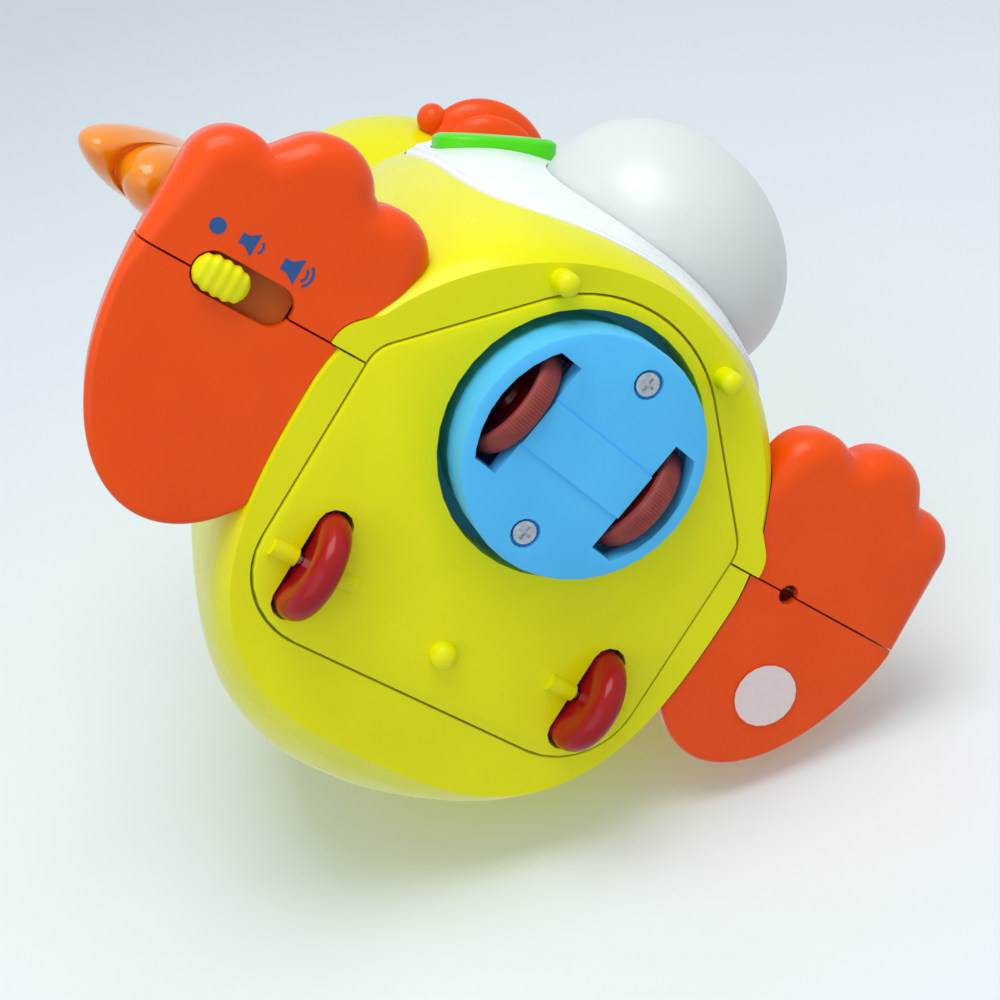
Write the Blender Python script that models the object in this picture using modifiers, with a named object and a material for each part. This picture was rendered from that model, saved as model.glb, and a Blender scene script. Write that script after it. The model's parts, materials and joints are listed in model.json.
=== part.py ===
"""Musical bump-and-go duck toy.

The duck stands on its wheels and looks along -Y. +X is the duck's left, +Z is up, and the origin
is on the floor under the middle of the toy. Sizes are in metres.
"""

import bmesh
import bpy
import math
from mathutils import Matrix, Vector

# Driving sizes of the whole toy
PLATE_HEIGHT = 0.0114
DISC_FROM_ORIGIN = 0.01405
WALL = 0.0022
GAP = 0.0003
SEAM_GAP = 0.0004
SEAM_BACK = 0.0054
OVERRUN = 0.002
SPAN = 0.3

# Body
BODY_HALF_WIDTH = 0.055
BODY_HEIGHT = 0.131
BODY_FRONT = 0.0454
BODY_REAR = 0.093
BODY_SIDES = 40
RIM_THICK = 0.0042
RIM_CORNER_WIDTH = 0.0524
RIM_CORNER_DIAGONAL = 0.0507
RIM_CORNER_ROUND = 0.0080
RIM_NOTCH_WIDTH = 0.0418
TAIL_WIDTH = 0.015
TAIL_LENGTH = 0.0175
TAIL_THICK = 0.0095
TAIL_BACK = 0.0800
TAIL_UP = 0.0950
TAIL_TILT = math.radians(38)
SCREW_BOSS_RADIUS = 0.0038
SCREW_BOSS_REACH = 0.0300
SCREW_HEAD_RADIUS = 0.0027
SCREW_HEAD_THICK = 0.0020
SCREW_SHANK_RADIUS = 0.0012
SCREW_SHANK_REACH = 0.0100
SCREW_POCKET_RADIUS = 0.0032
SCREW_WEB = 0.0026
SHELL_SCREW_SIDE = 0.0260
SHELL_SCREW_UP = 0.1120

# height, half width, front, rear, widest place, front squareness, rear squareness
BODY_SHARES = [
    (0.0046, 0.930, 0.775, 0.817, 0.150, 1.84, 2.9),
    (0.024, 0.952, 0.802, 0.843, 0.150, 1.95, 2.8),
    (0.060, 0.978, 0.838, 0.887, 0.156, 2.00, 2.6),
    (0.135, 0.995, 0.880, 0.952, 0.172, 2.10, 2.25),
    (0.241, 0.995, 0.925, 0.995, 0.194, 2.20, 2.02),
    (0.361, 0.980, 0.960, 1.000, 0.204, 2.25, 1.92),
    (0.481, 0.955, 0.987, 0.973, 0.204, 2.25, 1.92),
    (0.602, 0.909, 0.996, 0.914, 0.194, 2.20, 1.95),
    (0.714, 0.845, 0.975, 0.822, 0.161, 2.15, 2.0),
    (0.812, 0.762, 0.915, 0.705, 0.118, 2.10, 2.0),
    (0.895, 0.660, 0.815, 0.560, 0.075, 2.05, 2.0),
    (0.955, 0.560, 0.700, 0.420, 0.035, 2.0, 2.0),
    (1.000, 0.464, 0.562, 0.275, 0.0, 2.0, 2.0),
]

# Front nubs on the rim and the rear nub on the plate
NUB_SIDE = 0.0202
NUB_FORWARD = 0.0264
NUB_RADIUS = 0.0024
NUB_HEIGHT = 0.0058
REAR_NUB_BACK = 0.0492
REAR_NUB_RADIUS = 0.0029
REAR_NUB_HEIGHT = 0.0034

# Base plate
PLATE_THICK = 0.0026
PLATE_HALF_WIDTH = 0.0445
PLATE_FRONT_RADIUS = 0.0300
PLATE_FRONT_CORNER = 0.0070
PLATE_EDGE_ROUND = 0.0006
PLATE_LIP = 0.0022
PLATE_LIP_THICK = 0.0014
PLATE_REAR = 0.0599
PLATE_REAR_ROUND = 0.0165
PLATE_GAP = 0.0005
DISC_HOLE_RADIUS = 0.0275
COLLAR_WALL = 0.0016
COLLAR_TOP = 0.0112

# Rear wheels
REAR_WHEEL_SIDE = 0.0333
REAR_WHEEL_BACK = 0.0445
REAR_WHEEL_RADIUS = 0.0114
REAR_WHEEL_WIDTH = 0.0062
REAR_SLOT_LENGTH = 0.0246
REAR_SLOT_WIDTH = 0.0074
REAR_AXLE_RADIUS = 0.0009
REAR_AXLE_INNER = 0.0236
REAR_AXLE_OUTER = 0.0424
BUMP_RADIUS = 0.0018
WHEEL_COVER_WALL = 0.0014
WHEEL_COVER_CLEARANCE = 0.0012
WHEEL_COVER_TONGUE = 0.0020

# Bump-and-go drive unit
DRIVE_TURN = math.radians(8.3)
CAP_DROP = 0.0082
CAP_RADIUS = 0.0250
CAP_ROUND = 0.0008
CAP_WALL = 0.0015
CAP_TOP = 0.0018
WELL_WALL = 0.0012
WELL_TOP = -0.0038
WHEEL_SLOT_INNER = 0.0130
WHEEL_SLOT_HALF = 0.01275
WHEEL_SLOT_RADIUS = 0.0223
BAND_HALF_WIDTH = 0.0052
BAND_RISE = 0.0006
DRIVE_SCREW_PLACE = 0.0184
DRIVE_SCREW_POCKET = 0.0031
DRIVE_SCREW_SINK = 0.0007
DRIVE_SCREW_HEAD = 0.0024
DRIVE_BOSS_RADIUS = 0.0042
HOUSING_WALL = 0.0015
HOUSING_RADIUS = 0.0245
HOUSING_TOP = 0.0147
HOUSING_FLANGE_RADIUS = 0.0292
HOUSING_FLANGE_THICK = 0.0016
SPIGOT_RADIUS = 0.0050
SPIGOT_TOP = 0.0190
DRIVE_WHEEL_RADIUS = 0.0120
DRIVE_WHEEL_INNER = 0.0142
DRIVE_WHEEL_OUTER = 0.0188
DRIVE_AXLE_UP = DRIVE_WHEEL_RADIUS - PLATE_HEIGHT
DRIVE_AXLE_RADIUS = 0.0013
DRIVE_WHEEL_DISH = 0.0012
KNURL_COUNT = 24
KNURL_DEPTH = 0.00045
AXLE_BEARING_PLACE = 0.0125
AXLE_BEARING_HALF = 0.0008
MOTOR_RADIUS = 0.0058
MOTOR_LENGTH = 0.0150
MOTOR_UP = 0.0052
MOTOR_SHAFT_RADIUS = 0.0008
MOTOR_BOSS_RADIUS = 0.0024
MOTOR_BOSS_LENGTH = 0.0010
GEAR_MODULE = 0.0008
GEAR_TEETH = 14
PINION_TEETH = 8
GEAR_WIDTH = 0.0022
GEAR_PLACE = 0.0102
GEAR_BACKLASH = 0.0002
MOTOR_RIB_PLACE = 0.0050
MOTOR_RIB_HALF = 0.0008
DRIVE_MOTOR_FORWARD = math.sqrt(
    (GEAR_MODULE * (GEAR_TEETH + PINION_TEETH) / 2 + GEAR_BACKLASH) ** 2
    - (MOTOR_UP - DRIVE_AXLE_UP) ** 2
)
RETAINER_THICK = 0.0020
RETAINER_POST_RADIUS = 0.0030
RETAINER_SIDE = 0.0355
RETAINER_SIDE_FORWARD = 0.0020
RETAINER_REAR = 0.0240
RETAINER_REAR_SIDE = 0.0280
RETAINER_FRONT = 0.0120
SPIGOT_CLEARANCE = 0.0005
STAKE_RADIUS = 0.0014
STAKE_HEAD_RADIUS = 0.0024
STAKE_THICK = 0.0010
SMALL_SCREW_HEAD_RADIUS = 0.0022
SMALL_SCREW_HEAD_THICK = 0.0012
SMALL_SCREW_SHANK_RADIUS = 0.0009
SMALL_SCREW_LENGTH = 0.0060

# Feet
FOOT_UP = 0.0014
FOOT_SIDE = 0.0668
FOOT_BACK = 0.0050
FOOT_HALF_WIDTH = 0.0258
FOOT_REAR_LENGTH = 0.0438
FOOT_TOP = 0.0150
FOOT_STEP = 0.0024
LEFT_FOOT_TURN = math.radians(4.5)
TOE_EDGE_ROUND = 0.0058
HEEL_EDGE_ROUND = 0.0016
TOE_EDGE_HEIGHT = 0.0100
HEEL_EDGE_HEIGHT = 0.0055
FOOT_CAVITY_HALF_WIDTH = 0.0195
FOOT_CAVITY_HALF_LENGTH = 0.0300
FOOT_CAVITY_HEIGHT = 0.0056
FOOT_FLOOR = 0.0020
# side and forward place of each toe's circle, then its radius, from the foot's centre
TOE_PLACES = [
    (0.0165, 0.0194, 0.0093),
    (0.0007, 0.0244, 0.0105),
    (-0.0153, 0.0197, 0.0096),
]

# where each toe's arc starts and ends, in degrees
TOE_ARCS = [(245, 360), (208, 325), (180, 300)]

# Volume slider in the right foot, hole and label of the left foot
SLIDER_SLOT_OUTER = 0.0820
SLIDER_SLOT_INNER = 0.0614
SLIDER_SLOT_WIDTH = 0.0082
SLIDER_BACK = 0.0046
SLIDER_TRAVEL = 0.0088
SLIDER_LENGTH = 0.0110
SLIDER_WIDTH = 0.0072
SLIDER_PROUD = 0.0032
SLIDER_RIBS = 4
SLIDER_RIB_HEIGHT = 0.0008
SLIDER_FLANGE = 0.0013
SLIDER_TAIL = 0.0089
SLIDER_FLANGE_THICK = 0.0012
SWITCH_LENGTH = 0.0240
SWITCH_WIDTH = 0.0090
SWITCH_PIN = 0.0016
SWITCH_PIN_RISE = 0.0010
FOOT_HOLE_SIDE = 0.0614
FOOT_HOLE_RADIUS = 0.0022
LABEL_SIDE = 0.0703
LABEL_BACK = 0.0268
LABEL_RADIUS = 0.0071
LABEL_THICK = 0.00025

# Chest panel, light globe and music button
PANEL_PROUD = 0.0008
# round the panel from its lowest point, to the duck's right first, and back up its left side
PANEL_SHARES = [
    (0.03, 0.050),
    (-0.18, 0.073),
    (-0.40, 0.115),
    (-0.55, 0.170),
    (-0.635, 0.245),
    (-0.675, 0.365),
    (-0.680, 0.550),
    (-0.615, 0.690),
    (-0.400, 0.800),
    (0.00, 0.850),
    (0.400, 0.800),
    (0.655, 0.690),
    (0.800, 0.535),
    (0.880, 0.380),
    (0.855, 0.245),
    (0.725, 0.135),
    (0.51, 0.055),
    (0.25, 0.028),
]
GLOBE_SIDE = 0.0139
GLOBE_FORWARD = 0.0410
GLOBE_UP = 0.0460
GLOBE_RADIUS = 0.0303
GLOBE_DEPTH = 0.0254
GLOBE_TURN = math.radians(16.5)
GLOBE_WALL = 0.0018
GLOBE_SINK = 0.0135
GLOBE_FLANGE_RADIUS = 0.0278
GLOBE_FLANGE_THICK = 0.0018
GLOBE_FLANGE_BORE = 0.0230
LED_BOARD_RADIUS = 0.0250
LED_BOARD_THICK = 0.0016
LED_RADIUS = 0.0025
LED_HEIGHT = 0.0075
LED_RING_SHARE = 0.45
BUTTON_SIDE = 0.0235
BUTTON_UP = 0.0790
BUTTON_HALF_WIDTH = 0.0135
BUTTON_HALF_HEIGHT = 0.0100
BUTTON_PROUD = 0.0040
BUTTON_TRAVEL = 0.0016
BUTTON_TURN = math.radians(-27)
BUTTON_LEAN = math.radians(2)
BUTTON_FACE = 0.0402
BUTTON_SQUARENESS = 2.6
BUTTON_SKIRT = 0.0074
BUTTON_FLANGE = 0.0015
BUTTON_FLANGE_THICK = 0.0022
BUTTON_STEM_RADIUS = 0.0030
BUTTON_STEM_LENGTH = 0.0020
TAP_SWITCH_HALF = 0.0030
TAP_SWITCH_HEIGHT = 0.0022
TAP_PLUNGER_RADIUS = 0.0017
TAP_PLUNGER_HEIGHT = 0.0008
TAP_BOARD_HALF_WIDTH = 0.0080
TAP_BOARD_HALF_HEIGHT = 0.0165
TAP_POST_PLACE = 0.0142
TAP_POST_RADIUS = 0.0020

# Head
HEAD_RADIUS = 0.0394
HEAD_UP = 0.1650
HEAD_WALL = 0.0022
SEAT_CLEARANCE = 0.0005
NECK_RING_RADIUS = 0.0230
NECK_RING_BOTTOM = 0.1255
NECK_HOLE_RADIUS = 0.0175
NECK_RADIUS = 0.0165
NECK_BORE = 0.0120
NECK_FLANGE_RADIUS = 0.0205
NECK_FLANGE_THICK = 0.0022
NECK_FLANGE_GAP = 0.0006
EYE_SIDE = 0.0125
EYE_UP = 0.0185
EYE_HALF_WIDTH = 0.0050
EYE_HALF_HEIGHT = 0.0070
EYE_HALF_DEPTH = 0.0030
BILL_DROP = 0.0120
BILL_FORWARD = 0.0380
BILL_HALF_WIDTH = 0.0180
BILL_LENGTH = 0.0155
BILL_HALF_HEIGHT = 0.0065
BILL_TILT = math.radians(10)
LOWER_BILL_DROP = 0.0055
LOWER_BILL_SHARE = 0.80
LOWER_BILL_TILT = math.radians(16)
MOUTH_CORNER_SIDE = 0.0185
MOUTH_CORNER_FORWARD = 0.0370
MOUTH_CORNER_RADIUS = 0.0040
MOUTH_CORNER_DROP = 0.0110
HEAD_TURN = math.radians(8)
SHAFT_RADIUS = 0.0028
SHAFT_DISC_THICK = 0.0024
SHAFT_DISC_UP = 0.1236
SHAFT_FOOT_UP = 0.0920

# Wings and the case that moves them
WING_PIVOT_SIDE = 0.0415
WING_PIVOT_UP = 0.0960
WING_PIN_RADIUS = 0.0020
WING_PIN_HALF = 0.0062
WING_HUB_RADIUS = 0.0052
WING_HUB_HALF = 0.0025
WING_TAB_LOW = 0.0870
WING_TAB_HIGH = 0.1010
WING_LEVER = 0.0240
WING_LEVER_HALF = 0.0015
WING_SLOT_LOW = 0.0120
WING_SLOT_HIGH = 0.0120
WING_SLOT_CLEARANCE = 0.0006
WING_ROOT = 0.0520
WING_TIP = 0.1040
WING_TOP = 0.1060
WING_BOTTOM = 0.0380
WING_HALF_THICK = 0.0082
WING_TIP_THICK_SHARE = 0.58
WING_FORWARD = 0.0040
WING_SWEEP = 0.0015
WING_HEART_SHARE = (0.46, 0.46)
# distance out from root to tip, and height from the lowest to the highest point of the wing
WING_OUTLINE_SHARES = [
    (0.00, 0.97),
    (0.09, 1.00),
    (0.25, 0.95),
    (0.52, 0.76),
    (0.74, 0.55),
    (0.90, 0.37),
    (0.98, 0.26),
    (1.00, 0.18),
    (0.96, 0.11),
    (0.88, 0.10),
    (0.83, 0.15),
    (0.79, 0.06),
    (0.72, 0.02),
    (0.65, 0.04),
    (0.61, 0.10),
    (0.55, 0.02),
    (0.46, 0.00),
    (0.37, 0.05),
    (0.26, 0.20),
    (0.12, 0.42),
    (0.03, 0.60),
    (0.00, 0.72),
]
# depth through the wing, and how far each level keeps the outline
WING_LEVEL_SHARES = [
    (-1.00, 0.50),
    (-0.85, 0.80),
    (-0.35, 0.98),
    (0.35, 0.98),
    (0.85, 0.80),
    (1.00, 0.50),
]
PIVOT_BOSS_RADIUS = 0.0042
PIVOT_BOSS_LENGTH = 0.0060
WORKS_HALF_WIDTH = 0.0160
WORKS_FRONT = 0.0130
WORKS_BACK = 0.0150
WORKS_BOTTOM = 0.0700
WORKS_TOP = 0.0960
WORKS_BOSS_RADIUS = 0.0060
WORKS_BOSS_HEIGHT = 0.0040
WORKS_POST_RADIUS = 0.0032
WORKS_POST_SIDE = 0.0110
WORKS_POST_UP = 0.0870

# Circuit board, speaker and batteries
BOARD_HALF_WIDTH = 0.0240
BOARD_BACK = 0.0020
BOARD_PEG_SIDE = 0.0200
BOARD_PEG_BACK = 0.0160
BOARD_PEG_FORWARD = 0.0040
BOARD_HALF_LENGTH = 0.0180
BOARD_THICK = 0.0016
BOARD_LIFT = 0.0040
BOARD_POST_RADIUS = 0.0022
CHIP_HALF = 0.0050
CHIP_THICK = 0.0020
SPEAKER_RADIUS = 0.0140
SPEAKER_BACK = 0.0540
SPEAKER_UP = 0.1045
SPEAKER_TILT = math.radians(46)
SPEAKER_FRAME_THICK = 0.0030
SPEAKER_MAGNET_RADIUS = 0.0085
SPEAKER_MAGNET_HEIGHT = 0.0070
SPEAKER_COLLAR_WALL = 0.0016
SPEAKER_COLLAR_DEPTH = 0.0040
GRILLE_SLOTS = 5
GRILLE_PITCH = 0.0036
GRILLE_SLOT_HEIGHT = 0.0018
GRILLE_HALF_WIDTH = 0.0100
BATTERY_RADIUS = 0.00525
BATTERY_LENGTH = 0.0435
BATTERY_NUB_RADIUS = 0.0019
BATTERY_NUB_LENGTH = 0.0010
BATTERY_PITCH = 0.0114
BATTERY_BACK = 0.0700
BATTERY_MIDDLE_UP = 0.0624
TRAY_WALL = 0.0015
TRAY_CLEARANCE = 0.0004
CONTACT_THICK = 0.0004
CONTACT_HALF = 0.0030
COVER_HALF_WIDTH = 0.0285
COVER_LOW = 0.0345
COVER_HIGH = 0.0820
COVER_ROUND = 0.0060
COVER_GAP = 0.0004
COVER_SCREW_UP = 0.0395
COVER_SCREW_BOSS = 0.0034
COVER_SCREW_DEPTH = 0.0080


def at(x, y, z):
    """A place given from the drive disc's centre, with heights from the base plate's underside."""
    return Vector((x, y - DISC_FROM_ORIGIN, z + PLATE_HEIGHT))


def start_scene():
    for old in list(bpy.data.objects):
        bpy.data.objects.remove(old, do_unlink=True)
    toy = bpy.data.collections.new("musical_duck_toy")
    cutters = bpy.data.collections.new("cutters")
    bpy.context.scene.collection.children.link(toy)
    bpy.context.scene.collection.children.link(cutters)
    return toy, cutters


TOY, CUTTERS = start_scene()


def plastic(name, colour, roughness=0.3, metallic=0.0, alpha=1.0):
    material = bpy.data.materials.new(name)
    material.use_nodes = True
    shader = material.node_tree.nodes["Principled BSDF"]
    shader.inputs["Base Color"].default_value = (*colour, 1.0)
    shader.inputs["Roughness"].default_value = roughness
    shader.inputs["Metallic"].default_value = metallic
    shader.inputs["Alpha"].default_value = alpha
    return material


YELLOW = plastic("yellow_plastic", (0.72, 0.76, 0.01))
ORANGE = plastic("orange_plastic", (0.80, 0.07, 0.005))
BLUE = plastic("blue_plastic", (0.07, 0.38, 0.80))
WHITE = plastic("white_plastic", (0.85, 0.90, 0.92))
GREEN = plastic("green_plastic", (0.08, 0.72, 0.02))
RED = plastic("red_plastic", (0.42, 0.01, 0.01), 0.2)
MAROON = plastic("maroon_plastic", (0.30, 0.04, 0.03), 0.5)
BLACK = plastic("black_plastic", (0.01, 0.01, 0.01), 0.2)
GREY = plastic("grey_plastic", (0.35, 0.36, 0.37), 0.5)
MILKY = plastic("milky_globe", (0.80, 0.86, 0.82), 0.25, 0.0, 0.8)
AMBER = plastic("clear_orange", (0.95, 0.25, 0.01), 0.15, 0.0, 0.7)
STEEL = plastic("steel", (0.62, 0.62, 0.60), 0.3, 1.0)
BOARD_GREEN = plastic("board", (0.02, 0.22, 0.06), 0.5)
PAPER = plastic("label_paper", (0.80, 0.74, 0.72), 0.7)
BATTERY = plastic("battery_skin", (0.05, 0.05, 0.06), 0.4)
LED_CLEAR = plastic("led_clear", (0.85, 0.85, 0.80), 0.1)


def add_object(name, mesh, material=None):
    made = bpy.data.objects.new(name, mesh)
    TOY.objects.link(made)
    if material is not None:
        mesh.materials.clear()
        mesh.materials.append(material)
    return made


def from_bmesh(name, bm, material=None):
    bmesh.ops.recalc_face_normals(bm, faces=bm.faces)
    mesh = bpy.data.meshes.new(name)
    bm.to_mesh(mesh)
    bm.free()
    return add_object(name, mesh, material)


def evaluated_mesh(item):
    graph = bpy.context.evaluated_depsgraph_get()
    mesh = bpy.data.meshes.new_from_object(item.evaluated_get(graph))
    mesh.transform(item.matrix_world)
    return mesh


def boolean(target, tool, operation):
    """Applies one boolean to target, and removes the tool."""
    CUTTERS.objects.link(tool)
    TOY.objects.unlink(tool)
    tool.hide_render = True
    tool.display_type = "WIRE"
    step = target.modifiers.new(operation.lower(), "BOOLEAN")
    step.operation = operation
    step.solver = "EXACT"
    step.object = tool
    bpy.context.view_layer.update()
    mesh = evaluated_mesh(target)
    target.modifiers.clear()
    old = target.data
    target.data = mesh
    bpy.data.meshes.remove(old)
    bpy.data.objects.remove(tool, do_unlink=True)
    return target


def cut(target, *tools):
    for tool in tools:
        boolean(target, tool, "DIFFERENCE")
    return target


def join(target, *tools):
    for tool in tools:
        boolean(target, tool, "UNION")
    return target


def keep(target, tool):
    return boolean(target, tool, "INTERSECT")


def copy_of(item, name="copy"):
    made = bpy.data.objects.new(name, item.data.copy())
    TOY.objects.link(made)
    return made


def box(low, high, name="box", material=None):
    low, high = Vector(low), Vector(high)
    bm = bmesh.new()
    size = high - low
    place = Matrix.Translation((low + high) / 2) @ Matrix.Diagonal((*size, 1.0))
    bmesh.ops.create_cube(bm, size=1.0, matrix=place)
    return from_bmesh(name, bm, material)


def turned_to(axis):
    return Vector(axis).to_track_quat("Z", "Y").to_matrix().to_4x4()


def rod(start, end, radius, name="rod", material=None, sides=16, end_radius=None):
    start, end = Vector(start), Vector(end)
    bm = bmesh.new()
    place = Matrix.Translation((start + end) / 2) @ turned_to(end - start)
    bmesh.ops.create_cone(
        bm,
        cap_ends=True,
        segments=sides,
        radius1=radius,
        radius2=radius if end_radius is None else end_radius,
        depth=(end - start).length,
        matrix=place,
    )
    return from_bmesh(name, bm, material)


def ellipsoid(centre, radii, name="ellipsoid", material=None, turn=None, sides=20, rows=10):
    bm = bmesh.new()
    place = Matrix.Translation(centre)
    if turn is not None:
        place = place @ turn
    place = place @ Matrix.Diagonal((*radii, 1.0))
    bmesh.ops.create_uvsphere(bm, u_segments=sides, v_segments=rows, radius=1.0, matrix=place)
    return from_bmesh(name, bm, material)


def loft(rings, name="loft", material=None, closed=False):
    """Skins rings that have the same number of points: caps both ends, or joins the last to the first."""
    bm = bmesh.new()
    rows = [[bm.verts.new(point) for point in ring] for ring in rings]
    count = len(rows[0])
    pairs = list(zip(rows, rows[1:]))
    if closed:
        pairs.append((rows[-1], rows[0]))
    for lower, upper in pairs:
        for i in range(count):
            j = (i + 1) % count
            bm.faces.new((lower[i], lower[j], upper[j], upper[i]))
    if not closed:
        bm.faces.new(list(reversed(rows[0])))
        bm.faces.new(rows[-1])
    return from_bmesh(name, bm, material)


def flat_shape(points, thickness, place, name="flat", material=None):
    """A flat outline as a filled curve, centred on its own plane, then turned and moved by place."""
    curve = bpy.data.curves.new(name, "CURVE")
    curve.dimensions = "2D"
    curve.fill_mode = "BOTH"
    curve.extrude = thickness / 2
    spline = curve.splines.new("POLY")
    spline.points.add(len(points) - 1)
    for slot, (x, y) in zip(spline.points, points):
        slot.co = (x, y, 0, 1)
    spline.use_cyclic_u = True
    guide = bpy.data.objects.new(name, curve)
    TOY.objects.link(guide)
    bpy.context.view_layer.update()
    mesh = evaluated_mesh(guide)
    bpy.data.objects.remove(guide, do_unlink=True)
    bpy.data.curves.remove(curve)
    bm = bmesh.new()
    bm.from_mesh(mesh)
    bpy.data.meshes.remove(mesh)
    bmesh.ops.remove_doubles(bm, verts=bm.verts, dist=GAP / 30)
    bmesh.ops.transform(bm, matrix=place, verts=bm.verts)
    return from_bmesh(name, bm, material)


def turned(profile, place, name="turned", material=None, steps=48):
    """A profile of (radius, height) pairs, turned round Z by a Screw modifier, then moved by place."""
    mesh = bpy.data.meshes.new(name)
    edges = [(i, i + 1) for i in range(len(profile) - 1)]
    if min(profile[0][0], profile[-1][0]) > 0:
        edges.append((len(profile) - 1, 0))
    mesh.from_pydata([(r, 0, z) for r, z in profile], edges, [])
    guide = bpy.data.objects.new(name, mesh)
    TOY.objects.link(guide)
    screw = guide.modifiers.new("turn", "SCREW")
    screw.angle = math.tau
    screw.steps = steps
    screw.render_steps = steps
    screw.use_merge_vertices = True
    screw.merge_threshold = GAP / 30
    bpy.context.view_layer.update()
    solid = evaluated_mesh(guide)
    bpy.data.objects.remove(guide, do_unlink=True)
    bpy.data.meshes.remove(mesh)
    solid.transform(place)
    bm = bmesh.new()
    bm.from_mesh(solid)
    bpy.data.meshes.remove(solid)
    bmesh.ops.remove_doubles(bm, verts=bm.verts, dist=GAP / 30)
    return from_bmesh(name, bm, material)


def finished(item, name, material, pivot=None, smooth_angle=math.radians(32)):
    """Names a sub-part, gives it its material and smooth round faces, and sets its origin."""
    item.name = name
    item.data.name = name
    item.data.materials.clear()
    item.data.materials.append(material)
    item.data.shade_smooth()
    item.data.set_sharp_from_angle(angle=smooth_angle)
    if pivot is not None:
        item.data.transform(Matrix.Translation(-Vector(pivot)))
        item.location = pivot
    return item


def arc(centre, radius, start, end, count):
    """Points on an arc from one angle to another."""
    return [
        (
            centre[0] + radius * math.cos(start + (end - start) * i / (count - 1)),
            centre[1] + radius * math.sin(start + (end - start) * i / (count - 1)),
        )
        for i in range(count)
    ]


def rounded_rectangle(half_width, low, high, corner, count=6):
    points = []
    corners = [
        (half_width - corner, high - corner, 0),
        (-half_width + corner, high - corner, 1),
        (-half_width + corner, low + corner, 2),
        (half_width - corner, low + corner, 3),
    ]
    for x, y, quarter in corners:
        points += arc((x, y), corner, quarter * math.pi / 2, (quarter + 1) * math.pi / 2, count)
    return points


FACING_FRONT = Matrix.Rotation(math.pi / 2, 4, "X")
FACING_SIDE = Matrix(((0, 0, 1, 0), (1, 0, 0, 0), (0, 1, 0, 0), (0, 0, 0, 1)))


def slab_across(points, front, back, name="slab", material=None):
    """An outline in X and Z, from front to back along Y."""
    middle = Matrix.Translation(at(0, (front + back) / 2, 0))
    return flat_shape(points, back - front, middle @ FACING_FRONT, name, material)


def slab_flat(points, low, high, name="slab", material=None):
    """An outline in X and Y, from a low to a high level."""
    middle = Matrix.Translation(at(0, 0, (low + high) / 2))
    return flat_shape(points, high - low, middle, name, material)


def body_ring(shares, inset=0.0, height=None):
    up_share, width_share, front_share, rear_share, widest_share, front_power, rear_power = shares
    up = up_share * BODY_HEIGHT if height is None else height
    half = width_share * BODY_HALF_WIDTH - inset
    widest = widest_share * BODY_REAR
    front = -front_share * BODY_FRONT + inset
    rear = rear_share * BODY_REAR - inset
    ring = []
    for i in range(BODY_SIDES):
        angle = math.tau * i / BODY_SIDES
        c, s = math.cos(angle), math.sin(angle)
        power = 2 / (rear_power if s > 0 else front_power)
        x = half * math.copysign(abs(c) ** power, c)
        reach = rear - widest if s > 0 else widest - front
        y = widest + reach * math.copysign(abs(s) ** power, s)
        ring.append(at(x, y, up))
    return ring


def body_solid(inset=0.0, name="body"):
    """The whole body form, drawn in by inset all round; its floor and its top draw in as well."""
    floor = BODY_SHARES[0][0] * BODY_HEIGHT + max(inset, 0)
    top = BODY_HEIGHT - max(inset, 0)
    rings = []
    for shares in BODY_SHARES:
        up = shares[0] * BODY_HEIGHT
        if shares is BODY_SHARES[0]:
            up = floor
        elif shares is BODY_SHARES[-1]:
            up = top
        elif up <= floor or up >= top:
            continue
        rings.append(body_ring(shares, inset, up))
    return loft(rings, name)


def rim_corner(side, grow=0.0):
    """The flat corner of the rim in front of the seam."""
    width = RIM_CORNER_WIDTH + grow
    corner = RIM_CORNER_ROUND + grow
    diagonal = RIM_CORNER_DIAGONAL + grow * math.sqrt(2)
    centre = (width - corner, width - diagonal + corner * math.tan(math.pi / 8))
    points = [(0, SEAM_BACK), (0, RIM_NOTCH_WIDTH - diagonal)]
    points.append((RIM_NOTCH_WIDTH, RIM_NOTCH_WIDTH - diagonal))
    points += arc(centre, corner, -math.pi / 4, 0, 6)
    points.append((width, SEAM_BACK))
    points = [(side * x, y) for x, y in points]
    floor = BODY_SHARES[0][0] * BODY_HEIGHT
    return slab_flat(points, floor, floor + RIM_THICK + grow, "rim_corner")


def plate_outline(grow=0.0):
    """The base plate's outline, from the middle of its front round to the left."""
    half = PLATE_HALF_WIDTH + grow
    rear = PLATE_REAR + grow
    corner = PLATE_REAR_ROUND + grow
    front = PLATE_FRONT_RADIUS + grow
    fillet = PLATE_FRONT_CORNER + grow
    fillet_back = half - front * math.sqrt(2) + fillet * math.tan(math.pi / 8)
    left_half = arc((0, 0), front, -math.pi / 2, -math.pi / 4, 8)
    left_half += arc((half - fillet, fillet_back), fillet, -math.pi / 4, 0, 4)
    left_half += arc((half - corner, rear - corner), corner, 0, math.pi / 2, 8)
    right_half = [(-x, y) for x, y in reversed(left_half[1:])]
    return left_half + right_half


def pill(length, width, count=7):
    """A slot outline with round ends, long in Y."""
    radius = width / 2
    straight = length / 2 - radius
    return arc((0, straight), radius, 0, math.pi, count) + arc(
        (0, -straight), radius, math.pi, math.tau, count
    )


def moved(points, x, y):
    return [(px + x, py + y) for px, py in points]


def smooth_loop(points, steps):
    """A closed curve through the points, with steps places from each one to the next."""
    count = len(points)
    result = []
    for i in range(count):
        before, start, end, after = [Vector(points[(i + k) % count]) for k in (-1, 0, 1, 2)]
        for j in range(steps):
            t = j / steps
            result.append(
                start
                + (end - before) * t / 2
                + (before * 2 - start * 5 + end * 4 - after) * t**2 / 2
                + (start * 3 - before - end * 3 + after) * t**3 / 2
            )
    return result


def panel_window(grow=0.0):
    points = [(x * BODY_HALF_WIDTH, up * BODY_HEIGHT) for x, up in PANEL_SHARES]
    points = smooth_loop(points, 2)
    return inward(points, [grow] * len(points))


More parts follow.
